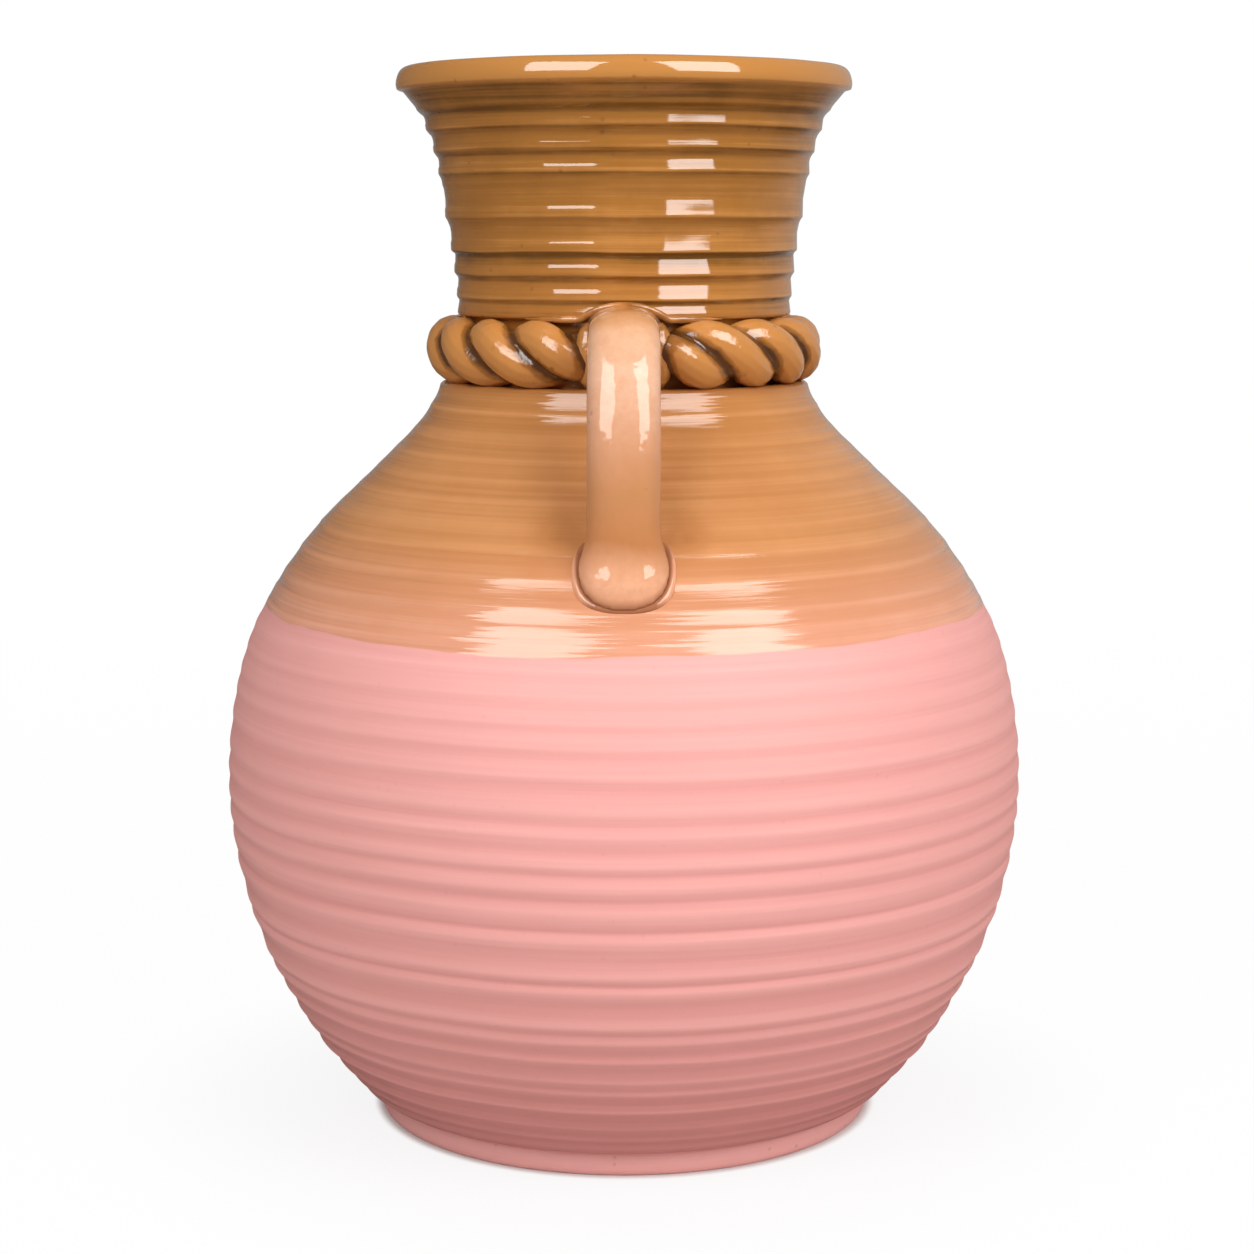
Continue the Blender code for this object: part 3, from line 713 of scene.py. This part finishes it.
ROPE_RADIUS = 58.2
ROPE_Z = 265.5
LAY_OUT = 3.0
LAY_UP = 4.5
COIL_RADIUS = 6.9
ROPE_TURNS = 9
ROPE_TAPER = 10
THROAT_FACE = 53.0
# Each half: azimuth of its start, of its end and of one lobe's middle, and its coils' nodes
ROPE_HALVES = {
    "right": (12.6, 167.4, 37.0, ("rope_right_strand_a", "rope_right_strand_b")),
    "left": (-12.6, -167.4, -39.0, ("rope_left_strand_a", "rope_left_strand_b")),
}

ROPE_THIN = (0.60, 0.250, 0.064, 1)
ROPE_MIDDLE = (0.34, 0.125, 0.023, 1)
ROPE_THICK_AND_SHADED = (0.10, 0.034, 0.007, 1)
ROPE_SPECK = (0.06, 0.025, 0.008, 1)


def keep_one(obj):
    """Makes a piece the only one selected, and the active one."""
    deselect()
    bpy.context.view_layer.objects.active = obj
    obj.select_set(True)


def roll_coil(name, points, radius, shares):
    """A coil of clay along a line of places: radius in mm, and the share of it at each place."""
    draw_chain(name, points)
    bpy.ops.object.convert(target="CURVE")
    coil = bpy.context.object
    coil.data.bevel_depth = radius * MM
    coil.data.bevel_resolution = 5
    coil.data.use_fill_caps = True
    for point, share in zip(coil.data.splines[0].points, shares):
        point.radius = share
    bpy.ops.object.convert(target="MESH")
    return bpy.context.object


def knead(obj, voxel, rounds):
    """Melts a piece's parts into one skin and smooths their meeting lines, as wet clay does."""
    keep_one(obj)
    apply_modifier(obj, "REMESH", mode="VOXEL", voxel_size=voxel * MM)
    apply_modifier(obj, "SMOOTH", factor=0.5, iterations=rounds)
    bpy.ops.object.shade_smooth()


def press_to_throat(obj):
    """Cuts away what would lie inside the throat's wall."""
    deselect()
    bpy.ops.mesh.primitive_cylinder_add(
        vertices=160, radius=THROAT_FACE * MM, depth=60 * MM, location=(0, 0, ROPE_Z * MM)
    )
    throat = bpy.context.object
    keep_one(obj)
    apply_modifier(obj, "BOOLEAN", object=throat, operation="DIFFERENCE", solver="EXACT")
    bpy.data.objects.remove(throat)


def make_rope_half(side, start, end, lobe):
    """Both coils of one half, laid round each other, pressed together and trimmed to the throat."""
    coils = []
    for coil in range(2):
        line, shares = [], []
        for azimuth in np.linspace(start, end, 91).tolist():
            from_end = min(abs(azimuth - start), abs(azimuth - end))
            fullness = 0.8 + 0.2 * math.sin(min(from_end / ROPE_TAPER, 1) * math.pi / 2)
            phase = math.pi * coil - math.radians(ROPE_TURNS * (azimuth - lobe))
            radius = ROPE_RADIUS + LAY_OUT * fullness * math.cos(phase) - 3 * (1 - fullness)
            turn = math.radians(azimuth)
            z = ROPE_Z + LAY_UP * fullness * math.sin(phase)
            line.append((radius * math.sin(turn), -radius * math.cos(turn), z))
            shares.append(fullness)
        coils.append(roll_coil(f"rope_{side}_coil_{coil}", line, COIL_RADIUS, shares))
    keep_one(coils[0])
    coils[1].select_set(True)
    bpy.ops.object.join()
    rope = bpy.context.object
    rope.name = f"rope_{side}_half"
    knead(rope, 0.6, 2)
    press_to_throat(rope)
    places = points_of(rope)
    reach = np.hypot(
        (np.hypot(places[:, 0], places[:, 1]) - ROPE_RADIUS) / (LAY_OUT + COIL_RADIUS),
        (places[:, 2] - ROPE_Z) / (LAY_UP + COIL_RADIUS),
    )
    # Painted shade with pooled glaze: the deeper into a crease, the darker.
    write_measure(rope, "pooling_and_shade", fade_in(reach, 0.84, -0.16, -0.1))
    return rope


def make_rope_finish():
    """The neck's amber glaze, cloudy on the lobes and nearly black in the creases, where pooled glaze and
    painted shade are put.
    """
    finish, tree, shader = start_finish("rope_amber_glaze", 0.06, 1.75)
    grain = add_effect(tree, CLAY_GRAIN, {"Grains per metre": 700.0, "Specks per metre": 260.0})
    coat = add_effect(tree, POOLED_GLAZE, {
        "Thin": ROPE_THIN, "Middle": ROPE_MIDDLE, "Thick": ROPE_THICK_AND_SHADED,
        "Pooling and shade": read_measure(tree, "pooling_and_shade"), "Clouds per metre": 110.0, "Cloudiness": 1.3,
    })
    colour = scatter_specks(tree, grain, 0.5, coat["Color"], ROPE_SPECK)
    give_surface(tree, shader, colour, grain["Tone"], 0.3, 0.4)
    return finish


ROPE_FINISH = make_rope_finish()
for side, (start, end, lobe, coil_nodes) in ROPE_HALVES.items():
    rope = make_rope_half(side, start, end, lobe)
    dress(rope, ROPE_FINISH)
    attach(rope, "root")
    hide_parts(*coil_nodes)


# ---------------------------------------
# Saddles. The pad of soft clay under each handle's root, between the ends of
# the rope, smoothed flat with a thumb, and the roll of slip along the neck's
# lower edge that climbs over the root. Both have the rope's glaze.

SADDLE_OUTLINE = (
    (53.2, 254.7), (58.0, 254.7), (61.5, 256.6), (63.6, 260.4), (64.3, 265.5), (63.6, 270.4),
    (61.6, 274.2), (58.4, 276.3), (53.2, 276.5), (53.2, 265.5), (53.2, 254.7),
)
SADDLE_HALF_ANGLE = 15.0
FILLET_HALF_ANGLE = 34
FILLET_RADIUS = 1.25
FILLET_PLACE = (57.3, 277.0)
FILLET_CLIMB = (1.3, 4.6)
ROOT_HALF_ANGLE = 14.5


def other_side(obj, name):
    """The same piece on the back of the vase: a copy with its own mesh, turned half round."""
    keep_one(obj)
    bpy.ops.object.duplicate(linked=False)
    twin = bpy.context.object
    twin.name = name
    open_all()
    bpy.ops.transform.rotate(value=math.pi, orient_axis="Z", center_override=(0, 0, 0))
    bpy.ops.object.mode_set(mode="OBJECT")
    return twin


def round_edge_of(obj, is_end, offset, segments):
    """Bevels the edge round each end face that is picked out here."""
    bpy.ops.mesh.select_mode(type="FACE")
    bpy.ops.object.mode_set(mode="OBJECT")
    for face in obj.data.polygons:
        face.select = is_end(face)
    bpy.ops.object.mode_set(mode="EDIT")
    bpy.ops.mesh.region_to_loop()
    bpy.ops.mesh.bevel(offset=offset * MM, offset_type="OFFSET", segments=segments, profile=0.5)
    bpy.ops.mesh.select_mode(type="VERT")
    bpy.ops.object.mode_set(mode="OBJECT")


def make_saddle():
    """The pad's section, swept round the throat behind the handle, closed at both ends and rounded."""
    saddle = draw_outline("saddle_front", SADDLE_OUTLINE)
    open_merged()
    bpy.ops.mesh.edge_face_add()
    open_all()
    bpy.ops.transform.rotate(
        value=math.radians(90 - SADDLE_HALF_ANGLE), orient_axis="Z", center_override=(0, 0, 0)
    )
    bpy.ops.mesh.spin(
        steps=12, angle=math.radians(2 * SADDLE_HALF_ANGLE), center=(0, 0, 0), axis=(0, 0, 1)
    )
    open_all()
    bpy.ops.mesh.normals_make_consistent(inside=False)
    round_edge_of(saddle, lambda face: len(face.vertices) > 4, 4.4, 6)
    knead(saddle, 0.6, 5)
    places = points_of(saddle)
    write_measure(saddle, "pooling_and_shade", np.clip((63 - np.hypot(places[:, 0], places[:, 1])) / 14, 0, 0.7))
    return saddle


def make_root_fillet():
    """The roll of slip: level along the neck's edge, up and out over the handle's root."""
    line, shares = [], []
    for azimuth in np.linspace(-FILLET_HALF_ANGLE, FILLET_HALF_ANGLE, 69).tolist():
        over = max(0.0, 1 - (abs(azimuth) / ROOT_HALF_ANGLE) ** 2.2)
        radius = FILLET_PLACE[0] + FILLET_CLIMB[0] * over
        turn = math.radians(azimuth)
        z = FILLET_PLACE[1] + FILLET_CLIMB[1] * over
        line.append((radius * math.sin(turn), -radius * math.cos(turn), z))
        shares.append(0.25 + 0.75 * min(1, (FILLET_HALF_ANGLE - abs(azimuth)) / 14))
    fillet = roll_coil("root_front_fillet", line, FILLET_RADIUS, shares)
    knead(fillet, 0.4, 3)
    write_measure(fillet, "pooling_and_shade", np.full(len(fillet.data.vertices), 0.25))
    return fillet


saddle = make_saddle()
dress(saddle, ROPE_FINISH)
fillet = make_root_fillet()
dress(fillet, ROPE_FINISH)
for pad, node in ((saddle, "handle_front_saddle"), (other_side(saddle, "saddle_back"), "handle_back_saddle")):
    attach(pad, "root")
    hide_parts(node)
for roll in (fillet, other_side(fillet, "root_back_fillet")):
    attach(roll, "root")


# ---------------------------------------
# Handles. Each is one pulled bar of solid clay, a squared oval across, that
# leaves the throat level, bends down and swells a little where it is pressed
# against the shoulder. The glaze is thin on it, so the clay shines through.

HANDLE_WIDTH = 23.0
HANDLE_THICKNESS = 17.0
THROAT = 54.0
HANDLE_ROOT_Z = 272.6
HANDLE_FOOT = (107.0, 203.9)
HANDLE_BEND = 27.03
HANDLE_SQUARENESS = 2.5
FOOT_WIDER = 0.235
FOOT_DEEPER = 0.27
ROOT_THICKER = 0.08
SHOULDER_TILT = math.radians(41.5)
SHOULDER_FACING = Vector((0, -math.cos(SHOULDER_TILT), math.sin(SHOULDER_TILT)))
SHOULDER_TABLE = np.arange(180, 250, 0.5)

# Up the handle: pale clay at the foot, amber above it, then peach, and amber at the root; the steps carry
# painted light and shade along the bar as well as the glaze's tint
HANDLE_GLAZE_AND_LIGHT = (
    (0.0, (0.78, 0.37, 0.21, 1)), (0.10, (0.85, 0.43, 0.26, 1)), (0.24, (0.55, 0.22, 0.08, 1)),
    (0.40, (0.56, 0.25, 0.105, 1)), (0.56, (0.68, 0.335, 0.19, 1)), (0.76, (0.83, 0.49, 0.33, 1)),
    (0.92, (0.80, 0.45, 0.27, 1)), (1.0, (0.60, 0.27, 0.09, 1)),
)
HANDLE_PATCH = (0.62, 0.25, 0.10, 1)
HANDLE_SPECK = (0.35, 0.12, 0.05, 1)
CREASE_SHADOW_BROWN = (0.40, 0.15, 0.07, 1)


def handle_stations():
    """Places along the bar's middle (distance from the axis, height), with their shares of full size."""
    bend = Vector((HANDLE_FOOT[0] - HANDLE_BEND, HANDLE_ROOT_Z))
    drop = Vector((HANDLE_FOOT[0], HANDLE_FOOT[1] + HANDLE_THICKNESS / 2))
    pull_out = bend + Vector((0.52 * HANDLE_BEND, 0))
    pull_up = drop + Vector((-0.05 * HANDLE_BEND, 0.66 * (bend.y - drop.y)))
    line = [Vector((x, HANDLE_ROOT_Z)) for x in (52.5, 56, 60, 64, 68, 72, 76)]
    for s in np.linspace(0, 1, 27).tolist():
        line.append(
            (1 - s) ** 3 * bend + 3 * (1 - s) ** 2 * s * pull_out + 3 * (1 - s) * s**2 * pull_up + s**3 * drop
        )
    line += [Vector((HANDLE_FOOT[0], z)) for z in np.arange(drop.y - 2.4, 183, -2.4).tolist()]
    stations = []
    for place in line:
        wider = FOOT_WIDER * ease(min(max((214.5 - place.y) / 13, 0), 1), 0, 0)
        deeper = FOOT_DEEPER * ease(min(max((208 - place.y) / 11, 0), 1), 0, 0)
        near_root = ROOT_THICKER * (1 - min(max((place.x - THROAT) / 24, 0), 1)) ** 2
        stations.append((place, 1 + wider + near_root, 1 + deeper + near_root))
    return stations


def sweep_bar(stations):
    """Extrudes the bar's section from station to station, turning and widening it on the way."""
    slope = 0.0
    for number in range(1, len(stations)):
        (here, here_wide, here_deep), (there, wide, deep) = stations[number - 1], stations[number]
        run = stations[min(number + 1, len(stations) - 1)][0] - here
        new_slope = math.atan2(-run.y, run.x)
        centre = (0, -there.x * MM, there.y * MM)
        step = (0, -(there.x - here.x) * MM, (there.y - here.y) * MM)
        bpy.ops.mesh.extrude_region_move(TRANSFORM_OT_translate={"value": step})
        if abs(new_slope - slope) > 1e-6:
            bpy.ops.transform.rotate(value=-(new_slope - slope), orient_axis="X", center_override=centre)
        growth = (wide / here_wide, deep / here_deep, deep / here_deep)
        if max(abs(share - 1) for share in growth) > 1e-6:
            bpy.ops.transform.resize(value=growth, center_override=centre)
        slope = new_slope


def off_the_shoulder(places):
    """How far in mm each place on or near the shoulder stands off the wall there."""
    wall = read_up(gauge_radius, BODY_GAUGE, SHOULDER_TABLE, places[:, 2])
    return (np.hypot(places[:, 0], places[:, 1]) - wall) * math.cos(SHOULDER_TILT)


def pull_handle():
    """The bar, cut off along the shoulder's slope and rounded there; its crease along the shoulder is kept as
    a measure for painted shadow.
    """
    stations = handle_stations()
    first, wide, deep = stations[0]
    section = []
    for turn in np.linspace(0, math.tau, 37).tolist():
        x, z = squared_oval(HANDLE_WIDTH / 2 * wide, HANDLE_THICKNESS / 2 * deep, turn, HANDLE_SQUARENESS)
        section.append((x, -first.x, first.y + z))
    handle = draw_chain("handle_front_pulled", section)
    open_merged()
    bpy.ops.mesh.edge_face_add()
    sweep_bar(stations)
    open_all()
    bpy.ops.mesh.normals_make_consistent(inside=False)
    sunk = Vector((0, -HANDLE_FOOT[0], HANDLE_FOOT[1])) - 1.0 * SHOULDER_FACING
    bpy.ops.mesh.bisect(plane_co=sunk * MM, plane_no=SHOULDER_FACING, use_fill=True, clear_inner=True)
    round_edge_of(handle, lambda face: face.normal.dot(SHOULDER_FACING) < -0.99, 1.6, 5)
    knead(handle, 0.6, 6)
    places = points_of(handle)
    # Painted shadow: the bar darkens within a few mm of the shoulder.
    crease = fade_in(off_the_shoulder(places), 2.6, -1.6)
    write_measure(handle, "pooling_and_shade", np.where(places[:, 2] < 225, crease, 0))
    return handle


def make_handle_finish():
    """Thin clear glaze over peach clay; it gathered amber above the foot and towards the throat, and painted
    light and shade along the bar are in its colour.
    """
    finish, tree, shader = start_finish("peach_glaze_over_pulled_clay", 0.07, 1.53)
    drift = add_noise(tree, object_place(tree), 60.0, 3.0)
    drifted = reckon(tree, "MULTIPLY_ADD", drift, 12 * MM, object_height(tree))
    # Painted light and shade: the colour steps up the bar follow how it is lit as well as the glaze.
    colour = colour_run(tree, remap(tree, drifted, 196 * MM, 288 * MM), HANDLE_GLAZE_AND_LIGHT)
    grain = add_effect(tree, CLAY_GRAIN, {"Grains per metre": 260.0, "Specks per metre": 300.0})
    colour = blend_colours(tree, remap(tree, grain["Tone"], 0.35, 0.7, high=0.3), colour, HANDLE_PATCH)
    colour = scatter_specks(tree, grain, 0.35, colour, HANDLE_SPECK)
    # Painted shadow: brown in the crease along the shoulder.
    colour = blend_colours(tree, read_measure(tree, "pooling_and_shade"), colour, CREASE_SHADOW_BROWN)
    give_surface(tree, shader, colour, drift, 0.6, 1.2)
    return finish


handle = pull_handle()
dress(handle, make_handle_finish())
for bar, node in ((handle, "handle_front"), (other_side(handle, "handle_back_pulled"), "handle_back")):
    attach(bar, "root")
    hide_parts(node)


# ---------------------------------------
# Lutings. Where a handle's foot was stuck to the shoulder with slip, a thin
# ridge of it squeezed out all round and was smoothed down with a finger. The
# crease between ridge and handle is darkened brown with painted shadow.

LUTING_HALF_WIDTH = 14.6
LUTING_HALF_LENGTH = 9.1
LUTING_RADIUS = 1.8
LUTING_SUNK = 1.3
CREASE_HALF_WIDTH = 14.26
CREASE_HALF_LENGTH = 10.795

LUTING_PALE = (0.84, 0.40, 0.24, 1)
LUTING_DARK = (0.78, 0.35, 0.19, 1)


def make_luting_ridge():
    """A coil of slip on the shoulder round the handle's foot, sunk till only a low ridge shows."""
    shoulder = read_up(gauge_radius, BODY_GAUGE, SHOULDER_TABLE, SHOULDER_TABLE)
    loop, shares = [], []
    for turn in np.linspace(0, math.tau, 65).tolist():
        x, forward = squared_oval(LUTING_HALF_WIDTH, LUTING_HALF_LENGTH, turn, HANDLE_SQUARENESS)
        y = -HANDLE_FOOT[0] - forward
        z = float(np.interp(-math.hypot(x, y), -shoulder, SHOULDER_TABLE))
        loop.append((x, y, z - LUTING_SUNK))
        towards_front = max(0, math.cos(turn))
        shares.append(0.65 + 0.35 * min(1, 1 + math.cos(turn)) - 0.25 * towards_front**4)
    ridge = roll_coil("luting_front_ridge", loop, LUTING_RADIUS, shares)
    knead(ridge, 0.4, 4)
    places = points_of(ridge)
    reach = (
        np.abs(places[:, 0] / CREASE_HALF_WIDTH) ** HANDLE_SQUARENESS
        + np.abs((places[:, 1] + HANDLE_FOOT[0]) / CREASE_HALF_LENGTH) ** HANDLE_SQUARENESS
    ) ** (1 / HANDLE_SQUARENESS)
    from_handle = (reach - 1) * CREASE_HALF_WIDTH
    # Painted shadow: darker towards the crease along the handle.
    write_measure(ridge, "pooling_and_shade", fade_in(from_handle, 1.2, -0.9))
    return ridge


def make_luting_finish():
    """The shoulder's peach glaze, patchy, with painted brown shadow in the crease along the handle."""
    finish, tree, shader = start_finish("luting_peach_glaze", 0.08, 1.56)
    grain = add_effect(tree, CLAY_GRAIN, {"Grains per metre": 260.0, "Specks per metre": 300.0})
    colour = blend_colours(tree, remap(tree, grain["Tone"], 0.35, 0.7), LUTING_PALE, LUTING_DARK)
    colour = blend_colours(tree, read_measure(tree, "pooling_and_shade"), colour, CREASE_SHADOW_BROWN)
    tree.links.new(colour, shader.inputs["Base Color"])
    return finish


ridge = make_luting_ridge()
dress(ridge, make_luting_finish())
for loop, node in (
    (ridge, "handle_front_luting"), (other_side(ridge, "luting_back_ridge"), "handle_back_luting")
):
    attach(loop, "root")
    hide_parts(node)


# ---------------------------------------
# Studio. A wide pale floor that fades into the white backdrop, a large
# softbox on each side of the camera, and the camera a little above the lip.

# Azimuth from the camera's side, elevation, distance, width, height and radiance
SOFTBOXES = {
    "left": (-33, 37, 1.3, 0.72, 0.80, 5.5),
    "right": (42, 36, 1.3, 0.74, 0.86, 6.0),
}
AIM_Z = 210 * MM
CAMERA_PLACE = (0.001, -0.931, 0.3077)
CAMERA_PITCH = 81.5
CAMERA_LENS = 77.5
FLOOR_HALF = 3.0
PAPER = (0.76, 0.75, 0.74, 1)
PAPER_IN_REFLECTIONS = (0.12, 0.12, 0.12, 1)
ROOM_LIGHT = (1, 0.98, 0.96, 1)
WHITE = (1, 1, 1, 1)
WINDOW_SIDE = (0.85, 0.52, 0.0)
WINDOW_BEHIND = (0.6, 0.8, 0.0)


def mix_shaders(tree, share, first, second):
    return add_node(tree, "ShaderNodeMixShader", {0: share, 1: first, 2: second}).outputs["Shader"]


def make_floor():
    """White paper: the camera sees it lit, with a soft contact line at the foot, and it fades out far off."""
    deselect()
    bpy.ops.mesh.primitive_plane_add(size=2 * FLOOR_HALF, location=(0, 0, 0))
    floor = bpy.context.object
    floor.name = "studio_floor"
    paper = bpy.data.materials.new("white_paper")
    paper.use_nodes = True
    tree = paper.node_tree
    tree.nodes.clear()
    path = add_node(tree, "ShaderNodeLightPath").outputs
    reach = reckon_vectors(tree, "LENGTH", object_place(tree), gives="Value")
    seen = blend_colours(tree, path["Is Glossy Ray"], PAPER, PAPER_IN_REFLECTIONS)
    sheet = add_node(tree, "ShaderNodeBsdfDiffuse", {"Color": seen}).outputs["BSDF"]
    glow = add_node(tree, "ShaderNodeEmission", {"Color": WHITE, "Strength": 1.0}).outputs["Emission"]
    clear_of_foot = remap(tree, reach, 0.085, 0.2, 0.87, 0.98, smooth=True)
    contact = remap(tree, reach, 0.0855, 0.0895, 0.1, 1.0, smooth=True)
    lift = reckon(tree, "MULTIPLY", path["Is Camera Ray"], reckon(tree, "MULTIPLY", contact, clear_of_foot))
    lit = mix_shaders(tree, lift, sheet, glow)
    clear = add_node(tree, "ShaderNodeBsdfTransparent").outputs["BSDF"]
    faded = mix_shaders(tree, remap(tree, reach, 0.35, 1.4, smooth=True), lit, clear)
    add_node(tree, "ShaderNodeOutputMaterial", {"Surface": faded})
    floor.data.materials.append(paper)


def make_softbox(name, azimuth, elevation, distance, width, height, radiance):
    """A lit panel that faces the vase."""
    turn, rise = math.radians(azimuth), math.radians(elevation)
    place = Vector((
        distance * math.cos(rise) * math.sin(turn),
        -distance * math.cos(rise) * math.cos(turn),
        AIM_Z + distance * math.sin(rise),
    ))
    deselect()
    bpy.ops.object.light_add(type="AREA", location=place)
    panel = bpy.context.object
    panel.name = f"softbox_{name}"
    panel.rotation_euler = (Vector((0, 0, AIM_Z)) - place).to_track_quat("-Z", "Y").to_euler()
    panel.data.shape = "RECTANGLE"
    panel.data.size = width
    panel.data.size_y = height
    panel.data.energy = radiance * math.pi * width * height


def room_light(tree, place, side, start, end, low, high):
    """A dim room that is brighter towards one side."""
    towards = reckon_vectors(tree, "DOT_PRODUCT", place, side, gives="Value")
    strength = remap(tree, towards, start, end, low, high)
    made = add_node(tree, "ShaderNodeBackground", {"Color": ROOM_LIGHT, "Strength": strength})
    return made.outputs["Background"]


def make_backdrop():
    """White where the camera sees past the vase; what lights it is a dim room with a window on the right."""
    world = bpy.data.worlds.new("white_studio")
    bpy.context.scene.world = world
    world.use_nodes = True
    tree = world.node_tree
    tree.nodes.clear()
    path = add_node(tree, "ShaderNodeLightPath").outputs
    place = add_node(tree, "ShaderNodeTexCoord").outputs["Generated"]
    fill = room_light(tree, place, WINDOW_SIDE, -0.3, 0.9, 0.15, 0.44)
    reflected = room_light(tree, place, WINDOW_BEHIND, 0.45, 0.95, 0.13, 0.42)
    room = mix_shaders(tree, path["Is Glossy Ray"], fill, reflected)
    white = add_node(tree, "ShaderNodeBackground", {"Color": WHITE, "Strength": 1.0}).outputs["Background"]
    seen = mix_shaders(tree, path["Is Camera Ray"], room, white)
    add_node(tree, "ShaderNodeOutputWorld", {"Surface": seen})


make_floor()
make_backdrop()
for name, settings in SOFTBOXES.items():
    make_softbox(name, *settings)

deselect()
bpy.ops.object.camera_add(location=CAMERA_PLACE, rotation=(math.radians(CAMERA_PITCH), 0, 0))
camera = bpy.context.object
camera.data.sensor_width = 36
camera.data.lens = CAMERA_LENS
bpy.context.scene.camera = camera
bpy.context.scene.view_settings.view_transform = "Standard"
